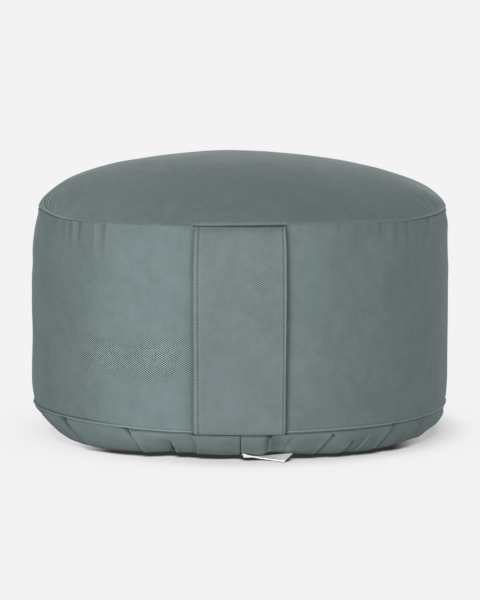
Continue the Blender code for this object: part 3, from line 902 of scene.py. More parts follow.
    def pucker_depths(self, down: Array, bearing: Array) -> Array:
        """How deep the puckers under the top seam are, negative where the cloth rises.

        Args:
            down: distances below the top seam, in metres.
            bearing: 1 x columns bearings in degrees.

        Returns:
            One depth for each point, in metres.
        """
        depths = np.zeros(np.broadcast_shapes(down.shape, bearing.shape))
        for pucker in PUCKERS:
            course = pucker.bearing + pucker.lean * down
            beside = np.radians(turn_between(bearing, course)) * self.form.diameter / 2.0
            fade = (1.0 - smooth(down / pucker.length)) * smooth(0.3 + down / (3.0 * MM))
            depths = depths + pucker.depth * bell(beside, pucker.width) * fade
        return depths

    def upper_groove_strength(self, bearing: Array) -> Array:
        """How sharply the band folds in over the bead of the bottom seam, from 0 to 1."""
        return 1.0 + added_up(bearing, UPPER_GROOVE_DRAWN)

    def lower_groove_strength(self, bearing: Array) -> Array:
        """How sharply the bottom panel folds in under that bead, from 0 to 1."""
        return 0.35 + added_up(bearing, LOWER_GROOVE_DRAWN)

    def pleat_relief(self, share: Array, climbed: Array, radius: Array, bearing: Array) -> tuple:
        """How far the bottom panel stands out at its pleats, and the shade and highlight painted along them.

        Args:
            share: 1 at the seam and 0 at the floor.
            climbed: the same for the height.
            radius: the plain radii.
            bearing: 1 x columns bearings in degrees.

        Returns:
            The relief, negative in the slot of each pleat, the shade painted into the slots and the
            highlight painted on the edges that lie on top.
        """
        relief = np.zeros(np.broadcast_shapes(share.shape, bearing.shape))
        dark, highlit = relief, relief
        for pleat in self.pleats():
            line = pleat.floor_bearing + (pleat.seam_bearing - pleat.floor_bearing) * share ** 0.7
            line = line - np.sign(line) * self.pleat_bow * np.sin(math.pi * climbed)
            beside = np.radians(turn_between(bearing, line)) * radius * pleat.lap.value
            opening = smooth((pleat.start - climbed) / 0.12 + (pleat.start >= 1.0) * 0.7)
            along = opening * (0.30 + 0.70 * smooth(climbed / 0.12))
            width = pleat.width * (0.7 + 0.5 * climbed)
            drop = smooth(0.5 - beside / pleat.edge)
            slot = drop * np.exp(np.minimum(0.0, beside + 0.5 * pleat.edge) / (0.55 * width))
            crest = (1.0 - drop) * np.exp(-np.maximum(0.0, beside) / (0.55 * width))
            relief = relief + along * pleat.depth * (0.38 * crest - slot)
            # how strong the shade painted into the slot and the highlight painted on the edge that lies on
            # top are
            strength = along * pleat.depth / (2.4 * MM) * smooth(2.0 - pleat.edge / MM)
            spread = climbed if pleat.start >= 0.9 else 1.0 - climbed
            shadow = pleat.width * np.maximum(0.02, spread) ** pleat.taper
            hollow = drop * smooth(1.0 + np.minimum(0.0, beside) / shadow)
            dark = dark + strength * (0.5 * slot ** 3 + 1.3 * hollow)
            highlit = highlit + 0.7 * strength * bell(beside - 0.9 * MM, 1.6 * MM)
        return relief, dark, highlit

    def bottom_relief(self, away: Array, share: Array, climbed: Array, radius: Array, bearing: Array,
                      points: Array) -> Array:
        """The fine shape of the bottom panel above the floor.

        Args:
            away: rings x columns distances from the bottom seam along the cloth, in metres.
            share: rings x 1, 1 at the seam and 0 at the floor.
            climbed: the same for the height.
            radius: the plain radii.
            bearing: 1 x columns bearings in degrees.
            points: the plain points.

        Returns:
            How far each point stands out, in metres.
        """
        below = self.lower_groove_strength(bearing)
        relief = -self.low_groove_depth * self.groove(away, self.low_groove_half)
        relief = relief - 0.6 * MM * below * bell(away - 0.9 * MM, 2.0 * MM)
        relief = relief + self.pleat_relief(share, climbed, radius, bearing)[0]
        relief = relief + FOOT_GATHERS.relief(self.across(bearing), away)
        return relief + FOOT_LUMPS.relief(points) * smooth(climbed / 0.3) + FOOT_SLACK.relief(points)

    def channel(self, x: Array, closing: Array | float) -> Array:
        """How far the cover is pressed in under the closing flap, as a share.

        Args:
            x: places across the cushion, in metres.
            closing: how far the cover closes over the flap's right edge, from 0 to 1.

        Returns:
            One share for each place.
        """
        middle = self.channel_left + self.channel_width / 2.0
        outside = np.abs(x - middle) - self.channel_width / 2.0
        plain = 1.0 - smooth((outside - 0.05 * MM) / (0.6 * MM))
        shut = 1.0 - smooth(1.0 + outside / (7.0 * MM))
        return plain + (shut - plain) * closing * (x > middle)

    def flap_valley(self, points: Array) -> Array:
        """1 along the slack cloth beside the flap at the front, fading to 0 beside it."""
        return bell(points[..., 0] - 25.5 * MM, 9.0 * MM) * smooth(-points[..., 1] / 0.02)

    def closed(self, bearing: Array) -> Array:
        """The bearings with the first one again at the end, a full turn on."""
        return np.concatenate([bearing, bearing[:, :1] + 360.0], axis=1)

    def top_plain(self, steps: Array, bearing: Array) -> tuple[Array, Array, Array]:
        """The top panel without its fine shape.

        Args:
            steps: rings x 1 distances from the seam where it has not ridden up, in metres.
            bearing: 1 x columns bearings in degrees.

        Returns:
            The radii, the heights and the distances from the seam.
        """
        whole = self.form.crown_run()[-1]
        ride = self.form.seam_ride(bearing)
        from_seam = steps * (whole - ride) / whole
        return *self.form.upper_surface(-from_seam - ride, bearing), from_seam

    def band_tall(self) -> float:
        """The height of the side band between its seams, without what the top one rides up."""
        return self.form.top_seam_height - self.form.low_seam_height

    def band_plain(self, steps: Array, bearing: Array) -> tuple[Array, Array, Array]:
        """The side band without its fine shape, like top_plain, with distances down from the seam."""
        tall = self.band_tall()
        ride = self.form.seam_ride(bearing)
        down = steps * (tall + ride) / tall
        return *self.form.upper_surface(down - ride, bearing), down

    def top_grid(self, filling: "FillingRun") -> PanelGrid:
        """The top panel, from its middle out to the seam."""
        bearing = self.bearings()
        whole = self.form.crown_run()[-1]
        steps = np.array(steps_from_edge(0.25 * MM, 6.5 * MM, 1.15, whole))[::-1][1:, None]
        radius, height, from_seam = self.top_plain(steps, bearing)
        fans = self.fan_lines(from_seam + self.form.seam_ride(bearing), bearing)
        relief = fans + self.top_relief(from_seam, bearing, at_bearing(radius, bearing, height))
        relief = relief + filling.swelling(Panel.TOP, steps[:, 0] / whole, bearing[0])
        radius, height = pushed_out(radius, height, relief)
        turned = np.radians(self.closed(bearing))
        from_middle = whole - steps
        cloth = np.stack([from_middle * np.sin(turned), -from_middle * np.cos(turned)], axis=-1)
        over_strap = OVER_STRAP.at(bearing)
        drawn = self.seam_strength(bearing) - over_strap
        # painted highlight on the lip above the seam, on the fan ridges and over and beside the strap;
        # painted shade in the seam's groove, between the fan ridges and just above the strap
        painted_highlight = drawn * bell(from_seam - 1.7 * MM, 1.7 * MM) + np.maximum(0.0, fans) / (0.28 * MM)
        painted_highlight = painted_highlight + over_strap * bell(from_seam - 6.6 * MM, 4.0 * MM)
        painted_highlight = painted_highlight + BESIDE_STRAP.at(bearing) * bell(from_seam - 4.5 * MM, 4.0 * MM)
        painted_shade = drawn * self.groove(from_seam, self.groove_half) + 0.5 * np.maximum(0.0, -fans) / (0.2 * MM)
        painted_shade = painted_shade + over_strap * smooth(2.6 - from_seam / (1.8 * MM))
        weave = np.full(radius.shape, self.top_weave)
        points = at_bearing(radius, bearing, height)
        return PanelGrid(points, cloth, painted_highlight, painted_shade, weave, 0.0 * weave)

    def fading(self, bearing: Array) -> Array:
        """Painted light and shade of the side and the bottom at each bearing: how much paler the colour is
        where light falls, or darker below 0.
        """
        left_of_strap = smooth((STRAP_SIDE_LIGHT_PAINT.end - turn_between(bearing, 0.0)) / 2.0 + 0.5)
        return STRAP_SIDE_LIGHT_PAINT.at(bearing) * left_of_strap + added_up(bearing, SIDE_LIGHT_PAINT)

    def band_grid(self, filling: "FillingRun") -> PanelGrid:
        """The side band, from the top seam down to the bottom one."""
        bearing = self.bearings()
        tall = self.band_tall()
        half = steps_from_edge(0.25 * MM, 4.6 * MM, 1.16, tall / 2.0)
        steps = np.array(half[1:] + [tall - place for place in half[::-1][1:-1]])[:, None]
        radius, height, down = self.band_plain(steps, bearing)
        up = tall + self.form.seam_ride(bearing) - down
        around, beside = self.across(bearing), 1.0 - self.behind_strap(bearing)
        relief = self.band_relief(down, up, bearing, at_bearing(radius, bearing, height))
        swelling = filling.swelling(Panel.BAND, steps[:, 0] / tall, bearing[0])
        radius, height = pushed_out(radius, height, relief + swelling * (0.3 + 0.7 * beside))
        turned = np.radians(self.closed(bearing)) * self.form.diameter / 2.0
        cloth = np.stack(np.broadcast_arrays(turned, -steps), axis=-1)
        dents = self.pucker_depths(down, bearing) / (1.5 * MM)
        # painted highlight on the bead and on the rises of the puckers; painted shade in the seam grooves,
        # in the dents of the puckers and beside the strap's left edge
        painted_highlight = 1.6 * beside * bell(up - self.bead_place, 0.8 * MM) + 0.30 * np.maximum(0.0, -dents)
        seam_shade = (1.0 - 0.7 * added_up(bearing, OPEN_SEAM)) * self.seam_strength(bearing)
        painted_shade = seam_shade * self.groove(down, self.groove_half) + 0.40 * np.maximum(0.0, dents)
        tucked = self.groove(up - self.upper_groove_place, self.upper_groove_half)
        painted_shade = painted_shade + self.upper_groove_strength(bearing) * tucked
        left_shadow = bell(around + self.strap_half + 0.6 * MM, 3.6 * MM)
        painted_shade = painted_shade + 0.45 * left_shadow * smooth(down / (3.0 * MM))
        weave = self.side_weave + np.zeros(radius.shape)
        for patch in WEAVE_PATCHES:
            aside = turn_between(bearing, patch.bearing) / patch.reach
            above = (height - patch.height) / patch.rise
            weave = weave + patch.strength * np.exp(-(aside ** 4) - above ** 4)
        # painted light and shade by bearing
        painted_light = self.fading(bearing) + np.zeros(radius.shape)
        return PanelGrid(at_bearing(radius, bearing, height), cloth, painted_highlight, painted_shade, weave, painted_light)

    def bottom_grid(self, filling: "FillingRun") -> PanelGrid:
        """The bottom panel, from its seam down to the floor and in to the middle."""
        bearing = self.bearings()
        angle = np.concatenate([np.array([0.03, 0.07, 0.12]), np.linspace(0.18, math.pi / 2.0, 22)])
        share = np.cos(angle)[:, None] ** (2.0 / self.form.bottom_power)
        share[-1] = 0.0
        radius, height = self.form.bottom_point(share, bearing)
        low = self.form.low_seam_height
        climbed = np.clip(height / low, 0.0, 1.0)
        steps = np.hypot(np.diff(radius, axis=0), np.diff(height, axis=0))
        first = np.hypot(self.form.low_seam_radius - radius[:1], low - height[:1])
        away = np.concatenate([first, first + np.cumsum(steps, axis=0)])
        points = at_bearing(radius, bearing, height)
        relief = self.bottom_relief(away, share, climbed, radius, bearing, points)
        relief = relief + filling.swelling(Panel.BOTTOM, angle / (math.pi / 2.0), bearing[0])
        pressed = self.channel(points[..., 0], smooth(climbed / 0.3))
        relief = relief - self.valley_depth * self.flap_valley(points)
        relief = relief * (1.0 - pressed) - self.channel_depth * pressed * smooth(away / (1.5 * MM))
        radius, height = pushed_out(radius, height, relief)
        inner = np.array([0.985, 0.96, 0.92, 0.86, 0.76, 0.62, 0.49, 0.37, 0.26, 0.12])[:, None]
        rest = self.form.rest_radius(bearing)
        flat_radius = rest * inner
        flat_points = at_bearing(flat_radius, bearing, np.zeros_like(flat_radius))
        pleated = self.pleat_relief(np.zeros_like(inner), 0.0 * inner, flat_radius, bearing)[0]
        dent = np.maximum(0.0, -pleated) * smooth((inner - 0.7) / 0.3)
        dent = dent + np.maximum(0.0, FLOOR_LUMPS.relief(flat_points)) * smooth((1.0 - inner) / 0.1)
        flat_height = dent + self.channel_depth * self.channel(flat_points[..., 0], 0.0)
        radius = np.concatenate([radius, flat_radius])
        height = np.maximum(0.0, np.concatenate([height, flat_height]))
        reach = np.concatenate([away, away[-1:] + rest * (1.0 - inner)])
        unrolled = away[-1:] + rest - reach
        unrolled = np.concatenate([unrolled, unrolled[:, :1]], axis=1)
        turned = np.radians(self.closed(bearing))
        cloth = np.stack([unrolled * np.sin(turned), unrolled * np.cos(turned)], axis=-1)
        # painted shade in the groove under the bead, in the pleat slots, near the floor, beside the flap and
        # under the strap's lower end
        painted_shade = self.lower_groove_strength(bearing) * self.groove(reach - 0.5 * MM, 1.1 * MM)
        seam_radius = np.full(points.shape[:2], self.form.low_seam_radius)
        dark, highlit = self.pleat_relief(share, climbed, seam_radius, bearing)[1:]
        painted_shade[:len(share)] += dark * (1.0 - pressed)
        painted_shade = painted_shade + 0.6 * smooth(1.0 - height / (4.0 * MM))
        beside_flap = bell(points[..., 0] - 19.5 * MM, 5.0 * MM)
        beside_flap = beside_flap * (1.4 * climbed + 0.6 * smooth(1.0 - climbed / 0.3))
        painted_shade[:len(share)] += self.flap_valley(points) * (0.4 + beside_flap)
        painted_shade = painted_shade + 1.3 * OVER_STRAP.at(bearing) * smooth(2.4 - reach / (0.8 * MM))
        # painted highlight on the edges of the pleats that lie on top
        painted_highlight = np.zeros(radius.shape)
        painted_highlight[:len(share)] = 0.8 * highlit * (1.0 - pressed)
        weave = np.full(radius.shape, 0.6 * self.side_weave)
        # painted light and shade by bearing
        painted_light = 0.3 * self.fading(bearing) + added_up(bearing, FOOT_LIGHT_PAINT) + 0.0 * weave
        return PanelGrid(at_bearing(radius, bearing, height), cloth, painted_highlight, painted_shade, weave, painted_light)

    def build(self) -> bpy.types.Object:
        """Joins the three panels into one closed mesh.

        Returns:
            The cover's object, without a material.
        """
        filling = FillingRun(self)
        grids = [self.top_grid(filling), self.band_grid(filling), self.bottom_grid(filling)]
        points = np.concatenate([grid.points for grid in grids])
        rings, columns = points.shape[:2]
        vertices = np.concatenate([points[:1].mean(axis=1), points.reshape(-1, 3), np.zeros((1, 3))])
        masks = {
            name: np.concatenate([[0.0]] + [getattr(grid, name).ravel() for grid in grids] + [[0.0]])
            for name in MASKS
        }
        top, band, bottom = (grid.cloth for grid in grids)
        seam, foot = band[:1], bottom[:1]
        joined = (top, np.concatenate([seam * np.array([1.0, 0.0]), seam]), band,
                  np.concatenate([foot, foot]), bottom)
        places = [quad_places(cloth) for cloth in joined]
        here, last = np.arange(columns), 1 + (rings - 1) * columns
        after, middle = np.roll(here, -1), np.zeros(columns, int)
        faces = ring_quads(1, rings, columns)
        faces += np.stack([middle, 1 + here, 1 + after], axis=1).tolist()
        faces += np.stack([last + here, middle + len(vertices) - 1, last + after], axis=1).tolist()
        centre = np.zeros((columns, 2))
        places.append(np.stack([centre, top[0, :-1], top[0, 1:]], axis=1).reshape(-1, 2))
        places.append(np.stack([bottom[-1, :-1], centre, bottom[-1, 1:]], axis=1).reshape(-1, 2))
        return mesh_piece("cushion_cover", vertices, faces, np.concatenate(places), masks)


@dataclass
class FillingRun:
    """A cloth simulation of the filled cover, whose result is carried over to its fine mesh.

    A plain mesh of the three panels, held at its seams and a little smaller than its cloth, is
    blown up from inside. What each panel then swells and wrinkles by is kept, within a limit.
    """

    cover: CushionCover
    columns: int = 150
    frames: int = 20
    pressure: float = 4.0
    spare_cloth: float = 0.02         # how much wider the cloth is than the plain form
    limit: float = 0.6 * MM
    waves: tuple[int, int] = (3, 26)  # round the cushion, the broadest and the finest that are kept
    counts: tuple[int, int, int] = (30, 28, 8)    # rings of each panel

    def __post_init__(self) -> None:
        self.found: dict[Panel, Array] = {}
        self.run()

    def bearings(self) -> Array:
        """Bearings of its columns."""
        return np.linspace(0.0, 360.0, self.columns, endpoint=False)[None, :]

    def plain_rings(self) -> list[tuple[Array, Array]]:
        """Radii and heights of the rings of each panel, each from seam to seam or to its middle."""
        form, bearing = self.cover.form, self.bearings()
        shares = [np.linspace(0.0, 1.0, count)[:, None] for count in self.counts]
        top = self.cover.top_plain(shares[0] * 0.97 * form.crown_run()[-1], bearing)[:2]
        band = self.cover.band_plain(shares[1] * self.cover.band_tall(), bearing)[:2]
        share = np.cos(shares[2] * math.pi / 2.0) ** (2.0 / form.bottom_power)
        bottom = form.bottom_point(share, bearing)
        return [top, band, bottom]

    def run(self) -> None:
        """Simulates the plain mesh and keeps how far each of its points has moved out."""
        top, band, bottom = self.plain_rings()
        radius = np.concatenate([top[0][::-1], band[0][1:], bottom[0][1:], 0.6 * bottom[0][-1:]])
        height = np.concatenate([top[1][::-1], band[1][1:], bottom[1][1:], bottom[1][-1:]])
        bearing = self.bearings()
        start = at_bearing(radius, bearing, height)
        rings = len(start)
        middles = np.stack([start[0].mean(axis=0), start[-1].mean(axis=0)])
        faces = []
        for column in range(self.columns):
            after = (column + 1) % self.columns
            for ring in range(rings - 1):
                here, there = ring * self.columns, (ring + 1) * self.columns
                faces.append((here + column, there + column, there + after, here + after))
            faces.append((rings * self.columns, column, after))
            last = (rings - 1) * self.columns
            faces.append((rings * self.columns + 1, last + after, last + column))
        form = mesh_piece("filling_form", np.concatenate([start.reshape(-1, 3), middles]), faces)
        seams = (self.counts[0] - 1, sum(self.counts[:2]) - 2)
        held = [ring for ring in range(rings) if ring in seams or ring >= rings - 2]
        pins = form.vertex_groups.new(name="held")
        pins.add([ring * self.columns + column for ring in held for column in range(self.columns)]
                 + [rings * self.columns + 1], 1.0, "REPLACE")
        cloth = form.modifiers.new("filling", "CLOTH")
        cloth.settings.vertex_group_mass = "held"
        cloth.settings.use_pressure = True
        cloth.settings.uniform_pressure_force = self.pressure
        cloth.settings.shrink_min = -self.spare_cloth
        cloth.settings.effector_weights.gravity = 0.0
        scene = bpy.context.scene
        for number in range(1, self.frames + 1):
            scene.frame_set(number)
        settled = form.evaluated_get(bpy.context.evaluated_depsgraph_get()).data
        points = np.empty(3 * len(settled.vertices))
        settled.vertices.foreach_get("co", points)
        moved = points.reshape(-1, 3)[:rings * self.columns].reshape(start.shape) - start
        out, up = outward(radius, height)
        swelling = (moved * at_bearing(out, bearing, up)).sum(axis=2)
        bpy.data.objects.remove(form)
        scene.frame_set(1)
        first = 0
        for panel, count in zip(Panel, self.counts):
            part = swelling[first:first + count]
            part = part[::-1] if panel is Panel.TOP else part
            waves = np.fft.rfft(part, axis=1)
            waves[:, :self.waves[0]] = 0.0
            waves[:, self.waves[1]:] = 0.0
            part = np.fft.irfft(waves, self.columns, axis=1)
            self.found[panel] = self.limit * np.tanh(part / self.limit)
            LOG.info("filling %s: %.2f to %.2f mm", panel.value, 1000.0 * part.min(), 1000.0 * part.max())
            first += count - 1

    def swelling(self, panel: Panel, share: Array, bearing: Array) -> Array:
        """How far a panel has swollen or wrinkled.

        Args:
            panel: which one.
            share: how far along the section each ring lies, from 0 at the seam above it, or at
                the top panel's own seam, to 1.
            bearing: the bearings of the columns, in degrees.

        Returns:
            Rings x columns of distances, in metres.
        """
        if panel not in self.found:
            return np.zeros((len(share), len(bearing)))
        known = self.found[panel]
        rows = spline(known, share * (len(known) - 1), False)
        across = spline(rows.T, bearing / 360.0 * self.columns, True).T
        return across * (smooth(share / 0.04) * smooth((1.0 - share) / 0.04))[:, None]


# ---- the carry strap ------------------------------------------------------------------------

@dataclass
class CarryStrap:
    """The flat hemmed band at the front, with a row of stitches down each side."""

    form: CoverForm
    width: float = 0.0614
    bearing: float = -0.01            # its middle, in degrees
    thickness: float = 2.2 * MM
    hem_proud: float = 0.35 * MM
    hem_width: float = 4.2 * MM
    off_wall: float = 0.5 * MM
    bulge: float = 0.7 * MM
    left_inset: float = 3.0 * MM      # of the row of stitches at the lower bearing
    right_inset: float = 1.6 * MM
    stitch_pitch: float = 2.2 * MM
    stitch_length: float = 1.65 * MM
    stitch_radius: float = 0.24 * MM
    rows: int = 230

    def upper(self) -> float:
        """The height of its upper end, tucked under the edge of the top panel."""
        return self.form.top_seam_height + 0.2 * MM

    def lower(self) -> float:
        """The height of its lower end."""
        return self.form.low_seam_height - 0.2 * MM

    def outer(self, across: Array, height: Array) -> Array:
        """The radius of its outer face before the corners are rounded.

        Args:
            across: distances from its middle line, in metres.
            height: heights above the floor.

        Returns:
            One radius for each pair.
        """
        half = self.width / 2.0
        share = (self.upper() - height) / (self.upper() - self.lower())
        belly = np.sin(math.pi * np.clip(share, 0.0, 1.0))
        hem = smooth((np.abs(across) - (half - self.hem_width)) / (2.2 * MM))
        lift = self.off_wall + self.bulge * belly * (1.0 + (across / half) ** 2) / 2.0
        lift = lift + self.hem_proud * hem + self.thickness
        dimples = 0.7 + 0.3 * np.cos(2.0 * math.pi * (self.upper() - height) / self.stitch_pitch)
        lift = lift - 0.50 * MM * self.stitch_channel(across) * dimples
        lift = lift + STRAP_LUMPS.relief(at_bearing(np.array(0.15), across * 400.0, height))
        ends = bell(height - self.upper(), 5.0 * MM) + bell(height - self.lower(), 5.0 * MM)
        return self.form.wall_radius(height, self.bearing_of(across)) + lift - 0.5 * MM * ends

    def row_place(self, side: int) -> float:
        """Where a row of stitches lies across the strap: side is -1 or 1."""
        return side * self.width / 2.0 - side * (self.left_inset if side < 0 else self.right_inset)

    def stitch_channel(self, across: Array) -> Array:
        """1 along the rows of stitches, fading to 0 beside them."""
        return bell(across - self.row_place(-1), 1.5 * MM) + bell(across - self.row_place(1), 1.5 * MM)

    def hem_ridge(self, across: Array) -> Array:
        """1 along the rounded edge of each hem and just inside the stitches, where a highlight is painted.
        """
        from_left, from_right = across - self.row_place(-1), across - self.row_place(1)
        ridge = bell(from_left + 1.1 * MM, 1.3 * MM) + 0.5 * bell(from_left - 1.2 * MM, 1.3 * MM)
        return ridge + bell(from_right - 1.0 * MM, 1.3 * MM)

    def sway(self, down: Array, side: Array | int) -> Array:
        """How far an edge or a row of stitches wanders, at distances down from the upper end."""
        return 0.25 * MM * side * np.sin(down / 0.021) + 0.3 * MM * np.sin(down / 0.047 + 1.0)

    def bearing_of(self, across: Array) -> Array:
        """The bearing of a distance across the strap."""
        return self.bearing + np.degrees(across / (self.form.diameter / 2.0 + self.thickness))

    def section(self) -> tuple[Array, Array]:
        """Across and inward distances of the closed outline of one cross-section."""
        half, corner = self.width / 2.0, 0.9 * MM
        outer = np.concatenate([
            np.linspace(-half + corner, -half + 6.0 * MM, 16)[:-1],
            np.linspace(-half + 6.0 * MM, half - 6.0 * MM, 28),
            np.linspace(half - 6.0 * MM, half - corner, 16)[1:],
        ])
        turn = np.linspace(0.0, math.pi / 2.0, 6)[1:]
        right = half - corner + corner * np.sin(turn)
        right_in = corner * (1.0 - np.cos(turn))
        across = np.concatenate([outer, right, -right[::-1]])
        inward = np.concatenate([np.zeros(len(outer)), right_in, right_in[::-1]])
        back = self.thickness
        at = len(outer) + len(right)
        across = np.insert(across, at, [half, half - 0.4 * MM, 0.0, 0.4 * MM - half, -half])
        inward = np.insert(inward, at, [0.8 * back, back, back, back, 0.8 * back])
        return across, inward

    def build(self) -> bpy.types.Object:
        """Makes the band as one closed sheet.

        Returns:
            The strap's object, without a material.
        """
        across, inward = self.section()
        tall = self.upper() - self.lower()
        down = np.concatenate([np.linspace(0.0, 3.0 * MM, 7)[:-1],
                               np.linspace(3.0 * MM, tall - 3.0 * MM, self.rows),
                               np.linspace(tall - 3.0 * MM, tall, 7)[1:]])[:, None]
        height = self.upper() - down
        across_rows = across + self.sway(down, np.sign(across))
        radius = self.outer(across_rows, height) - inward[None, :]
        points = at_bearing(radius, self.bearing_of(across_rows), np.broadcast_to(height, radius.shape))
        run = np.concatenate([across, [-self.width / 2.0]])
        cloth = np.stack(np.broadcast_arrays(run[None, :], -down), axis=-1)
        outside = (inward < 0.5 * self.thickness)[None, :]
        # painted highlight along the hem ridges, the right edge and the lower end of the outer face
        right_hem = bell(across_rows - self.width / 2.0 + 1.0 * MM, 1.1 * MM)
        painted_highlight = 0.6 * self.hem_ridge(across_rows) + 0.7 * right_hem
        painted_highlight = (painted_highlight + 0.3 * bell(self.lower() - height, 1.4 * MM)) * outside
        # painted shade along the rows of stitches, under the upper end and at the lower end of the outer
        # face
        gaps = 0.5 - 0.5 * np.cos(2.0 * math.pi * (down - 2.0 * MM) / self.stitch_pitch)
        painted_shade = (0.70 - 0.5 * gaps) * self.stitch_channel(across_rows) + 0.5 * np.exp(-down / (3.0 * MM))
        painted_shade = (painted_shade + 0.3 * bell(height - self.lower(), 3.0 * MM)) * outside
        weave = 0.05 + 0.18 * bell(height - 0.150, 0.030) * bell(across_rows + 0.02, 0.035)
        weave = weave + 0.22 * bell(height - 0.086, 0.022)
        weave = weave + 0.55 * bell(across_rows - 0.016, 0.012) * smooth((height - 0.08) / 0.02)
        return tube_piece("strap_band", points, cloth, {"painted_highlight": painted_highlight, "painted_shade": painted_shade, "weave": weave})

    def stitches(self, side: int) -> bpy.types.Object:
        """One row of stitches.

        Args:
            side: -1 for the row at the lower bearing, 1 for the other.

        Returns:
            The row's object, without a material.
        """
        rings, corners = 7, 7
        count = int((self.upper() - self.lower() - 3.0 * MM) / self.stitch_pitch)
        index, share = np.arange(count)[:, None], np.linspace(-1.0, 1.0, rings)[None, :]
        middle = self.upper() - 2.0 * MM - self.stitch_pitch * (index + 0.5)
        height = middle + share * self.stitch_length / 2.0
        place = self.row_place(side) + 0.05 * MM * np.sin(2.7 * index)
        place = place + self.sway(self.upper() - height, side)
        radius = self.outer(place, height) + 0.12 * MM - 0.34 * MM * np.abs(share) ** 3
        thick = self.stitch_radius * np.sqrt(np.maximum(0.05, 1.0 - np.abs(share) ** 4))[..., None]
        angle = 2.0 * math.pi * np.arange(corners) / corners
        bearing = self.bearing_of(place[..., None] + thick * np.cos(angle))
        points = at_bearing(radius[..., None] + thick * np.sin(angle), bearing, height[..., None])
        faces: list = []
        for first in range(0, count * rings * corners, rings * corners):
            last = first + (rings - 1) * corners
            faces += ring_quads(first, rings, corners)
            faces += [list(range(first, first + corners)), list(range(last, last + corners))[::-1]]
        name = "strap_stitches_left" if side < 0 else "strap_stitches_right"
        return mesh_piece(name, points.reshape(-1, 3), faces)


# ---- the closing flap -----------------------------------------------------------------------

@dataclass
class ClosingFlap:
    """The lapped strip across the bottom panel, from seam to seam."""

    form: CoverForm
    left: float = 1.0 * MM
    width: float = 20.5 * MM
    thickness: float = 1.4 * MM
    proud: float = 0.7 * MM
    puff_height: float = 0.25 * MM
    curved_rows: int = 40
    flat_rows: int = 30

    def curved(self, x: Array, side: float, share: float) -> Array:
        """Points of its outer face where the bottom panel curves up to its seam.

        Args:
            x: the x of each point, in metres.
            side: -1 at the front and 1 at the back.
            share: 1 at the seam and 0 where the panel meets the floor.

        Returns:
            One point for each x.
        """
        radius = np.full(len(x), self.form.low_seam_radius)
        for _ in range(4):
            bearing = np.degrees(np.arctan2(x, -side * np.sqrt(radius ** 2 - x ** 2)))
            rest = self.form.rest_radius(bearing)
            radius = rest + (self.form.low_seam_radius - rest) * share
        radius, height = self.form.bottom_point(np.full(len(x), share), bearing)
        step = 0.002
        inner, lower = self.form.bottom_point(np.full(len(x), share - step), bearing)
        outer, upper = self.form.bottom_point(np.full(len(x), share + step), bearing)
        run_r, run_z = outer - inner, upper - lower
        length = np.maximum(np.hypot(run_r, run_z), 1e-9)
        edge = np.abs(x - self.left - self.width / 2.0) / (self.width / 2.0)
        across = (x - self.left) / self.width
        puff = bell(edge - 0.86, 0.25) * (across < 0.5) + np.sin(x / 0.0031 + 9.0 * share) * (1.0 - edge)
        out = self.proud * (1.0 - 1.9 * smooth(across * 2.5 - 1.5)) + self.puff_height * puff
        out = np.where(out > 0.0, out * smooth(share / 0.33), out) * smooth((1.0 - share) / 0.05)
        radius = radius + run_z / length * out
        height = np.maximum(0.0, height - run_r / length * out)
        return np.stack([x, side * np.sqrt(radius ** 2 - x ** 2), height], axis=1)

    def build(self) -> bpy.types.Object:
        """Makes the strip as one closed sheet.

        Returns:
            The flap's object, without a material.
        """
        x = self.left + self.width * (0.5 - 0.5 * np.cos(np.linspace(0.0, math.pi, 25)))
        power = self.form.bottom_power
        ends = math.acos(0.9985 ** (power / 2.0))
        angles = np.linspace(ends, math.pi / 2.0, self.curved_rows)
        shares = np.cos(angles) ** (2.0 / power)
        shares[-1] = 0.0
        front = [self.curved(x, -1.0, float(share)) for share in shares]
        back = [self.curved(x, 1.0, float(share)) for share in shares]
        between = back[-1] - front[-1]
        flat = [front[-1] + between * step / self.flat_rows for step in range(1, self.flat_rows)]
        outer = np.array(front + flat + back[::-1])
        inward = np.cross(np.gradient(outer, axis=0), np.array([1.0, 0.0, 0.0]))
        inward /= np.linalg.norm(inward, axis=2, keepdims=True)
        inward *= np.where(inward[..., 2:] < -1e-6, -1.0, 1.0)
        round_off = np.sqrt(np.clip(1.0 - (np.abs(np.linspace(-1.0, 1.0, len(x))) ** 14), 0.0, 1.0))
        middle = outer + inward * self.thickness / 2.0
        shell = inward * self.thickness / 2.0 * np.maximum(0.12, round_off)[None, :, None]
        sections = np.concatenate([middle - shell, (middle + shell)[:, ::-1]], axis=1)
        run = run_along(outer[:, len(x) // 2])
        across = np.concatenate([x, x[::-1], x[:1]])
        cloth = np.stack(np.broadcast_arrays(across[None, :], -run[:, None]), axis=-1)
        plain = np.ones(sections.shape[:2])
        # painted shade at the flap's front end by the seam and along its right side
        painted_shade = bell(run - 0.5 * MM, 2.6 * MM)[:, None]
        painted_shade = painted_shade + 1.1 * smooth((across[None, :-1] - 15.0 * MM) / (6.0 * MM))
        masks = {"weave": 0.1 * plain, "painted_shade": painted_shade * plain}
        return tube_piece("flap_strip", sections, cloth, masks)


# ---- the care label -------------------------------------------------------------------------

@dataclass(frozen=True)
class TapeStation:
    """Both edges of the label tape at one place along it, in millimetres."""

    near: tuple[float, float, float]
    far: tuple[float, float, float]


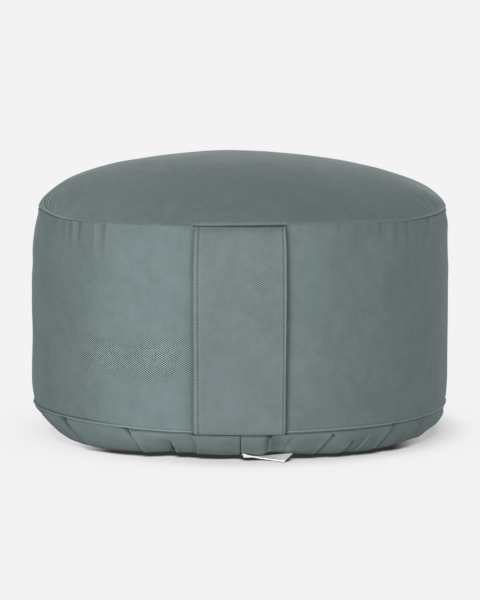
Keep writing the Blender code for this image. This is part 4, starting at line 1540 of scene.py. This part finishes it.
@dataclass
class CareLabel:
    """The small blank tape that lies out on the floor beside the flap."""

    stations: tuple[TapeStation, ...] = (
        TapeStation((2.2, -137.4, 4.9), (2.6, -130.4, 1.6)),
        TapeStation((7.0, -136.3, 3.3), (8.0, -128.0, 1.3)),
        TapeStation((14.2, -134.8, 1.7), (15.5, -125.0, 1.1)),
        TapeStation((23.5, -138.4, 1.0), (25.5, -127.0, 2.4)),
        TapeStation((29.4, -144.0, 1.0), (35.2, -132.0, 4.3)),
    )
    thickness: float = 0.8 * MM
    along: int = 48
    across: int = 14

    def build(self) -> bpy.types.Object:
        """Makes the tape as one closed sheet.

        Returns:
            The label's object, without a material.
        """
        known = np.arange(len(self.stations), dtype=float)
        wanted = np.linspace(0.0, known[-1], self.along)
        near = np.array([station.near for station in self.stations]) * MM
        far = np.array([station.far for station in self.stations]) * MM
        near = np.stack([np.interp(wanted, known, near[:, axis]) for axis in range(3)], axis=1)
        far = np.stack([np.interp(wanted, known, far[:, axis]) for axis in range(3)], axis=1)
        for edge in (near, far):
            edge[1:-1] = (edge[:-2] + 2.0 * edge[1:-1] + edge[2:]) / 4.0
        share = np.linspace(0.0, 1.0, self.across)[None, :, None]
        outer = near[:, None, :] + (far - near)[:, None, :] * share
        run = run_along(near)
        curl = 0.25 * MM * np.sin(run / 0.004)[:, None] * np.sin(math.pi * share[..., 0])
        normal = np.cross(np.gradient(outer, axis=0), np.gradient(outer, axis=1))
        normal /= np.maximum(np.linalg.norm(normal, axis=2, keepdims=True), 1e-12)
        normal *= np.where(normal[..., 2:] < 0.0, -1.0, 1.0)
        outer = outer + normal * curl[..., None]
        inner = outer - normal * self.thickness
        sections = np.concatenate([outer, inner[:, ::-1]], axis=1)
        sections[..., 2] = np.maximum(sections[..., 2], 0.05 * MM)
        width = np.linspace(0.0, 0.012, self.across)
        across = np.concatenate([width, width[::-1], width[:1]])
        cloth = np.stack(np.broadcast_arrays(across[None, :], run[:, None]), axis=-1)
        return tube_piece("label_tape", sections, cloth)


# ---- shader groups --------------------------------------------------------------------------

class NodeDesk:
    """A short way to place and join shader nodes in one tree."""

    def __init__(self, tree: bpy.types.NodeTree) -> None:
        """Works on one node tree."""
        self.tree = tree

    def node(self, kind: str, feeds: dict | None = None, **settings: object) -> bpy.types.Node:
        """Adds a node.

        Args:
            kind: the node's type name without its ShaderNode prefix.
            feeds: for some of its inputs, an output to join or a value.
            settings: properties to set on it.

        Returns:
            The new node.
        """
        made = self.tree.nodes.new(kind if kind.startswith("Node") else "ShaderNode" + kind)
        for name, value in settings.items():
            setattr(made, name, value)
        self.fill(made, feeds or {})
        return made

    def fill(self, node: bpy.types.Node, feeds: dict) -> None:
        """Joins a node's inputs to outputs, or sets their values."""
        for name, source in feeds.items():
            self.feed(node.inputs[name], source)

    def feed(self, socket: bpy.types.NodeSocket, source: object) -> None:
        """Joins a socket to an output, or sets its value."""
        if isinstance(source, bpy.types.NodeSocket):
            self.tree.links.new(source, socket)
        elif source is not None:
            socket.default_value = source

    def maths(self, operation: str, first: object, second: object = None, third: object = None,
              clamp: bool = False) -> bpy.types.NodeSocket:
        """A Math node.

        Args:
            operation: what it does.
            first: its first number or an output.
            second: its second one.
            third: its third one.
            clamp: whether the result is held between 0 and 1.

        Returns:
            Its output.
        """
        made = self.node("Math", operation=operation, use_clamp=clamp)
        for socket, source in zip(made.inputs, (first, second, third)):
            self.feed(socket, source)
        return made.outputs[0]

    def mapped(self, value: object, low: float, high: float, to_low: object,
               to_high: object) -> bpy.types.NodeSocket:
        """A Map Range node that eases a value from one range to another."""
        feeds = {"Value": value, "From Min": low, "From Max": high, "To Min": to_low, "To Max": to_high}
        return self.node("MapRange", feeds, interpolation_type="SMOOTHSTEP").outputs["Result"]

    def mixed(self, factor: object, first: object, second: object,
              blend: str = "MIX") -> bpy.types.NodeSocket:
        """A Mix node for colours."""
        feeds = {0: factor, 6: first, 7: second}
        return self.node("Mix", feeds, data_type="RGBA", blend_type=blend).outputs[2]

    def hills(self, vector: object, scale: float, detail: float) -> bpy.types.NodeSocket:
        """A noise texture's value."""
        return self.node("TexNoise", {"Vector": vector, "Scale": scale, "Detail": detail}).outputs["Fac"]

    def bump(self, height: object, distance: float, strength: float | None = None) -> bpy.types.NodeSocket:
        """A Bump node's normal."""
        feeds = {"Height": height, "Distance": distance, "Strength": strength}
        return self.node("Bump", feeds).outputs["Normal"]

    def mask(self, name: str) -> bpy.types.NodeSocket:
        """One of the masks that a piece's mesh carries."""
        return self.node("Attribute", attribute_name=name).outputs["Fac"]

    def openness(self, distance: object, samples: int) -> bpy.types.NodeSocket:
        """How open a place is to what stands within a distance of it."""
        return self.node("AmbientOcclusion", {"Distance": distance}, samples=samples).outputs["AO"]

    def parts(self, vector: object) -> bpy.types.NodeOutputs:
        """The x, y and z of a vector."""
        return self.node("SeparateXYZ", {0: vector}).outputs


def opaque(colour: Colour) -> tuple[float, float, float, float]:
    """A colour with a full alpha."""
    return (*colour, 1.0)


def new_material(name: str) -> tuple[bpy.types.Material, NodeDesk, bpy.types.Node]:
    """Starts a material: the material, a desk to work on it and its Principled shader."""
    material = bpy.data.materials.new(name)
    material.use_nodes = True
    return material, NodeDesk(material.node_tree), material.node_tree.nodes["Principled BSDF"]


def new_group(name: str, inputs: dict[str, object], outputs: dict[str, str]) -> tuple:
    """Starts a shader node group.

    Args:
        name: the group's name.
        inputs: for each input its usual value: a number, a colour, or None for a vector.
        outputs: for each output its socket type.

    Returns:
        The group, a desk to work on it, what it is given, and its output node.
    """
    tree = bpy.data.node_groups.new(name, "ShaderNodeTree")
    for socket, value in inputs.items():
        kind = "Vector" if value is None else "Color" if isinstance(value, tuple) else "Float"
        made = tree.interface.new_socket(socket, in_out="INPUT", socket_type="NodeSocket" + kind)
        if value is not None:
            made.default_value = value
    for socket, kind in outputs.items():
        tree.interface.new_socket(socket, in_out="OUTPUT", socket_type="NodeSocket" + kind)
    desk = NodeDesk(tree)
    return tree, desk, desk.node("NodeGroupInput").outputs, desk.node("NodeGroupOutput")


class ClothGroups:
    """The shader groups that the cloth finishes share, each built once."""

    def __init__(self) -> None:
        """Builds the groups."""
        self.weave = self.build_weave()
        self.tone = self.build_tone()

    def build_weave(self) -> bpy.types.NodeTree:
        """Twill: yarns that pass over three and under one, each row one step on.

        Returns:
            A group that puts out the height of the weave and a mask of its ribs.
        """
        tree, desk, given, result = new_group(
            "twill_weave", {"Cloth": None, "Warp": 0.6 * MM, "Weft": 0.36 * MM, "Unevenness": 0.25},
            {"Height": "Float", "Ribs": "Float"},
        )
        places = desk.parts(given["Cloth"])
        sway = desk.hills(given["Cloth"], 90.0, 1.0)
        sway = desk.maths("MULTIPLY", desk.maths("SUBTRACT", sway, 0.5), given["Unevenness"])
        over = desk.maths("ADD", desk.maths("DIVIDE", places[0], given["Warp"]), sway)
        along = desk.maths("ADD", desk.maths("DIVIDE", places[1], given["Weft"]), sway)
        inside = desk.maths("FRACT", over)
        round_yarn = desk.maths("SINE", desk.maths("MULTIPLY", inside, math.pi))
        step_on = desk.maths("ADD", along, desk.maths("FLOOR", over))
        phase = desk.maths("FRACT", desk.maths("MULTIPLY", step_on, 0.25))
        float_over = desk.maths("SINE", desk.maths("MULTIPLY", phase, math.pi))
        body = desk.maths("POWER", float_over, 0.8)
        height = desk.maths("MULTIPLY", body, desk.maths("MULTIPLY_ADD", round_yarn, 0.55, 0.45))
        rib_turn = desk.maths("MULTIPLY", desk.maths("ADD", over, along), math.pi / 2.0)
        back_turn = desk.maths("MULTIPLY", desk.maths("SUBTRACT", over, along), math.pi / 2.0)
        ribs = desk.maths("MULTIPLY_ADD", desk.maths("SINE", rib_turn), 0.31, 0.5)
        ribs = desk.maths("MULTIPLY_ADD", desk.maths("SINE", back_turn), 0.17, ribs)
        desk.fill(result, {"Height": height, "Ribs": ribs})
        return tree

    def build_tone(self) -> bpy.types.NodeTree:
        """Uneven tone: soft clouds from dyeing and wear and fine slubs in the yarn, with painted light and
        shade, painted highlights and painted shade laid over it from the masks.

        Returns:
            A group that puts out the cloth's colour, with its painted light, shade and highlights, and a
            mask of the clouds.
        """
        tree, desk, given, result = new_group(
            "cloth_tone",
            {"Cloth": None, "Deep": (0.1, 0.1, 0.1, 1.0), "Light": (0.3, 0.3, 0.3, 1.0), "Ribs": 0.5,
             "Rib Contrast": 0.3, "Weave": 0.5, "Painted_highlight": 0.0, "Painted_shade": 0.0, "Painted_light": 0.0},
            {"Colour": "Color", "Clouds": "Float"},
        )
        cloth = given["Cloth"]
        clouds = desk.mapped(desk.hills(cloth, 28.0, 3.0), 0.3, 0.7, 0.0, 1.0)
        stretched = desk.node("Mapping", {"Vector": cloth, "Scale": (1.0, 0.12, 1.0)})
        mottle = desk.mapped(desk.hills(cloth, 95.0, 2.0), 0.3, 0.7, 0.0, 1.0)
        slubs = desk.hills(stretched.outputs[0], 1400.0, 2.0)
        speck = desk.hills(cloth, 900.0, 2.0)
        blots = desk.hills(cloth, 230.0, 2.0)
        amount: object = -0.07
        for pattern, share in ((clouds, 0.16), (mottle, 0.12), (slubs, 0.16), (speck, 0.20), (blots, 0.32)):
            amount = desk.maths("MULTIPLY_ADD", pattern, share, amount)
        plain = desk.mixed(amount, given["Deep"], given["Light"])
        patches = desk.mapped(desk.hills(cloth, 150.0, 2.0), 0.35, 0.65, 0.8, 1.1)
        contrast = desk.maths("MULTIPLY", given["Rib Contrast"], patches)
        contrast = desk.maths("MULTIPLY", contrast, given["Weave"])
        rib = desk.maths("MULTIPLY", desk.maths("SUBTRACT", given["Ribs"], 0.5), contrast)
        # painted light and shade from its mask make the colour paler or darker, and the ribs of the weave
        # add their grain
        shade = desk.maths("ADD", desk.maths("MULTIPLY_ADD", given["Painted_light"], 0.12, 1.0), rib)
        grey = desk.node("CombineXYZ", {0: shade, 1: shade, 2: shade}).outputs[0]
        # a painted highlight adds the deep colour, and painted shade multiplies the colour by a dark grey,
        # each where its mask is set
        highlit = desk.maths("MULTIPLY", given["Painted_highlight"], 0.55, clamp=True)
        shade_share = desk.maths("MULTIPLY", given["Painted_shade"], 0.75, clamp=True)
        colour = desk.mixed(1.0, plain, grey, "MULTIPLY")
        colour = desk.mixed(highlit, colour, given["Deep"], "ADD")
        colour = desk.mixed(shade_share, colour, (0.25, 0.25, 0.27, 1.0), "MULTIPLY")
        desk.fill(result, {"Colour": colour, "Clouds": clouds})
        return tree


# ---- finishes -------------------------------------------------------------------------------

@dataclass(frozen=True)
class TwillFinish:
    """Woven cotton twill."""

    name: str
    deep: Colour
    light: Colour
    warp: float = 0.60 * MM
    weft: float = 0.36 * MM
    rib_contrast: float = 2.9
    bump: float = 0.16 * MM
    roughness: float = 0.85
    sheen: float = 0.06
    sheen_tint: Colour = (0.85, 0.93, 0.95)

    def make(self, groups: ClothGroups) -> bpy.types.Material:
        """Builds the material.

        Args:
            groups: the shared shader groups.

        Returns:
            The material.
        """
        material, desk, shader = new_material(self.name)
        cloth = desk.node("UVMap", uv_map=CLOTH_LAYER).outputs[0]
        weave = desk.node("Group", node_tree=groups.weave)
        desk.fill(weave, {"Cloth": cloth, "Warp": self.warp, "Weft": self.weft})
        tone = desk.node("Group", node_tree=groups.tone)
        desk.fill(tone, {"Cloth": cloth, "Ribs": weave.outputs["Ribs"], "Deep": opaque(self.deep),
                         "Light": opaque(self.light), "Rib Contrast": self.rib_contrast})
        desk.fill(tone, {name.capitalize(): desk.mask(name) for name in MASKS})
        clear = desk.mapped(desk.mask("weave"), 0.0, 0.8, 0.25, 1.0)
        raised = desk.maths("MULTIPLY", weave.outputs["Height"], clear)
        rough = desk.mapped(tone.outputs["Clouds"], 0.0, 1.0, self.roughness - 0.05, self.roughness + 0.08)
        desk.fill(shader, {
            "Base Color": tone.outputs["Colour"], "Roughness": rough,
            "Normal": desk.bump(raised, self.bump, 0.6), "Specular IOR Level": 0.15,
            "Sheen Weight": self.sheen, "Sheen Roughness": 0.45, "Sheen Tint": opaque(self.sheen_tint),
        })
        return material


@dataclass(frozen=True)
class ThreadFinish:
    """Spun sewing thread."""

    name: str
    colour: Colour
    roughness: float = 0.6

    def make(self) -> bpy.types.Material:
        """Builds the material, with the thread's twist as a fine slanting bump and shade painted between its
        turns.
        """
        material, desk, shader = new_material(self.name)
        feeds = {"Vector": desk.node("TexCoord").outputs["Object"], "Scale": 900.0}
        twist = desk.node("TexWave", feeds, wave_type="BANDS", bands_direction="DIAGONAL").outputs["Fac"]
        # painted shade: the colour is darker between the turns of the twist, where the bump is low
        between_turns = (*[0.8 * part for part in self.colour], 1.0)
        desk.fill(shader, {
            "Base Color": desk.mixed(twist, between_turns, opaque(self.colour)),
            "Normal": desk.bump(twist, 0.05 * MM), "Roughness": self.roughness, "Sheen Weight": 0.2,
        })
        return material


@dataclass(frozen=True)
class TapeFinish:
    """Smooth white woven label tape, with a painted glow that makes it look more brightly lit than its lamps
    make it.
    """

    name: str
    deep: Colour
    light: Colour
    painted_glow: float = 0.28

    def make(self) -> bpy.types.Material:
        """Builds the material, with the tape's cross ribs, a slight yellowing and a painted glow."""
        material, desk, shader = new_material(self.name)
        cloth = desk.node("UVMap", uv_map=CLOTH_LAYER).outputs[0]
        rib_turn = desk.maths("MULTIPLY", desk.parts(cloth)[1], 2.0 * math.pi / (0.5 * MM))
        aged = desk.hills(cloth, 120.0, 2.0)
        desk.fill(shader, {
            "Base Color": desk.mixed(aged, opaque(self.deep), opaque(self.light)),
            "Normal": desk.bump(desk.maths("SINE", rib_turn), 0.06 * MM, 0.4),
            "Roughness": desk.mapped(aged, 0.0, 1.0, 0.45, 0.6),
            # painted light: the tape glows to look brighter than the light falling on it
            "Emission Color": opaque(self.light), "Emission Strength": self.painted_glow,
        })
        return material


# ---- the studio -----------------------------------------------------------------------------

@dataclass(frozen=True)
class Sun:
    """A broad soft light: where it stands, how wide it is in degrees, and its strength."""

    name: str
    bearing: float
    elevation: float
    width: float
    strength: float


SUNS = (
    Sun("key_light", -35.0, 0.0, 30.0, 1.95),
    Sun("key_light_near", -15.0, 0.0, 30.0, 0.54),
    Sun("front_light", 10.0, 0.0, 30.0, 0.51),
    Sun("low_bounce_light", 20.0, -20.0, 30.0, 0.52),
    Sun("top_light", 0.0, 80.0, 60.0, 0.58),
    Sun("back_light", 180.0, 30.0, 50.0, 2.15),
    Sun("back_right_light", 150.0, 8.0, 40.0, 0.74),
    Sun("right_rim_light", 120.0, 8.0, 30.0, 0.94),
)


@dataclass
class Studio:
    """A plain pale floor, soft light and the camera."""

    backdrop: float = 0.896           # what the camera sees of the floor and the sweep, linear
    fill: float = 0.01                # light from all round
    floor_size: float = 40.0
    floor_albedo: float = 0.5
    lens: float = 133.3
    eye: tuple[float, float, float] = (0.0, -1.6, 0.2755)
    aim: tuple[float, float, float] = (0.0, 0.0, 0.0924)
    shift_x: float = 0.0005

    def build_floor(self) -> bpy.types.Object:
        """Makes the floor: as pale as the backdrop to the camera, but for the contact shadow.

        Returns:
            The floor's object.
        """
        half = self.floor_size / 2.0
        corners = np.array([[-half, -half, 0.0], [half, -half, 0.0], [half, half, 0.0], [-half, half, 0.0]])
        floor = mesh_piece("floor", corners, [(0, 1, 2, 3)])
        material, desk, plain = new_material("pale_floor")
        desk.fill(plain, {"Base Color": opaque((self.floor_albedo,) * 3), "Roughness": 0.9,
                          "Specular IOR Level": 0.0})
        across = desk.parts(desk.node("TexCoord").outputs["Object"])[0]
        reach = desk.mapped(desk.maths("ABSOLUTE", across), 0.01, 0.065, 0.0048, 0.0075)
        deepest = desk.maths("ADD", desk.mapped(across, -0.118, -0.086, 0.89, 0.05),
                             desk.mapped(across, 0.104, 0.130, 0.0, 0.80))
        shade = desk.mapped(desk.openness(reach, 24), 0.40, 0.95, deepest, 1.0)
        nearby = desk.maths("ADD", desk.mapped(across, -0.125, 0.0, 0.94, 0.76),
                            desk.mapped(across, 0.02, 0.12, 0.0, -0.14))
        near = desk.mapped(desk.openness(0.030, 16), 0.2, 1.0, nearby, 1.0)
        soft = desk.mapped(desk.openness(0.10, 12), 0.3, 1.0, 0.94, 1.0)
        bright = desk.maths("MULTIPLY", desk.maths("MULTIPLY", shade, near), soft)
        seen = desk.node("Emission", {"Strength": desk.maths("MULTIPLY", bright, self.backdrop)})
        choice = desk.node("MixShader", {0: desk.node("LightPath").outputs["Is Camera Ray"],
                                         1: plain.outputs[0], 2: seen.outputs[0]})
        desk.fill(material.node_tree.nodes["Material Output"], {"Surface": choice.outputs[0]})
        floor.data.materials.append(material)
        floor.visible_shadow = False
        return floor

    def build_world(self) -> None:
        """Sets a white backdrop that gives only a little light."""
        world = bpy.data.worlds.new("studio")
        bpy.context.scene.world = world
        world.use_nodes = True
        desk = NodeDesk(world.node_tree)
        strength = desk.node("Mix", {0: desk.node("LightPath").outputs["Is Camera Ray"],
                                     2: self.fill, 3: self.backdrop})
        desk.fill(world.node_tree.nodes["Background"], {"Strength": strength.outputs[0],
                                                        "Color": (1.0, 1.0, 1.0, 1.0)})

    def add_sun(self, sun: Sun) -> None:
        """Adds one broad soft light that shines at the cushion."""
        data = bpy.data.lights.new(sun.name, "SUN")
        data.energy = sun.strength
        data.angle = math.radians(sun.width)
        lamp = linked(sun.name, data)
        climb = math.radians(sun.elevation)
        away = Vector(at_bearing(np.array(math.cos(climb)), np.array(sun.bearing), math.sin(climb)))
        lamp.rotation_euler = away.to_track_quat("Z", "Y").to_euler()

    def build_camera(self) -> None:
        """Places the camera at the photograph's viewing angle."""
        data = bpy.data.cameras.new("camera")
        data.lens = self.lens
        data.sensor_width = 36.0
        data.shift_x = self.shift_x
        camera = linked("camera", data)
        camera.location = self.eye
        look = Vector(self.aim) - Vector(self.eye)
        camera.rotation_euler = look.to_track_quat("-Z", "Y").to_euler()
        bpy.context.scene.camera = camera

    def build(self) -> None:
        """Sets up everything round the cushion."""
        self.build_camera()
        self.build_floor()
        self.build_world()
        for sun in SUNS:
            self.add_sun(sun)
        bpy.context.scene.view_settings.view_transform = "Standard"


# ---- putting it together --------------------------------------------------------------------

def dress(piece: bpy.types.Object, material: bpy.types.Material, slot: str, *nodes: str) -> None:
    """Gives a piece its material and its body, and hides the CAD nodes that it stands for.

    Args:
        piece: the object.
        material: its finish.
        slot: not used.
        nodes: the CAD nodes that it stands for.
    """
    piece.data.materials.append(material)
    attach(piece, BODY)
    if nodes:
        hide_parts(*nodes)
    LOG.info("%s: %d faces", piece.name, len(piece.data.polygons))


def main() -> None:
    """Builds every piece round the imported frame."""
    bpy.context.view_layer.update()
    groups = ClothGroups()
    cover_cloth = TwillFinish("cover_twill", (0.130, 0.171, 0.173), (0.238, 0.296, 0.299)).make(groups)
    strap_cloth = TwillFinish("strap_twill", (0.142, 0.178, 0.181), (0.257, 0.307, 0.316)).make(groups)
    thread = ThreadFinish("sewing_thread", (0.190, 0.235, 0.240)).make()
    tape = TapeFinish("white_tape", (0.90, 0.87, 0.82), (0.97, 0.96, 0.94)).make()

    Studio().build()

    cover = CushionCover(FORM).build()
    dress(cover, cover_cloth, "cover_cloth", "cushion")

    strap_maker = CarryStrap(FORM)
    strap = strap_maker.build()
    dress(strap, strap_cloth, "strap_cloth", "carry_strap")
    rows = [strap_maker.stitches(side) for side in (-1, 1)]
    for row in rows:
        dress(row, thread, "strap_cloth")

    flap = ClosingFlap(FORM).build()
    dress(flap, cover_cloth, "cover_cloth", "closing_flap")

    label = CareLabel().build()
    dress(label, tape, "label_tape", "care_label")


if __name__ == "__main__":
    main()
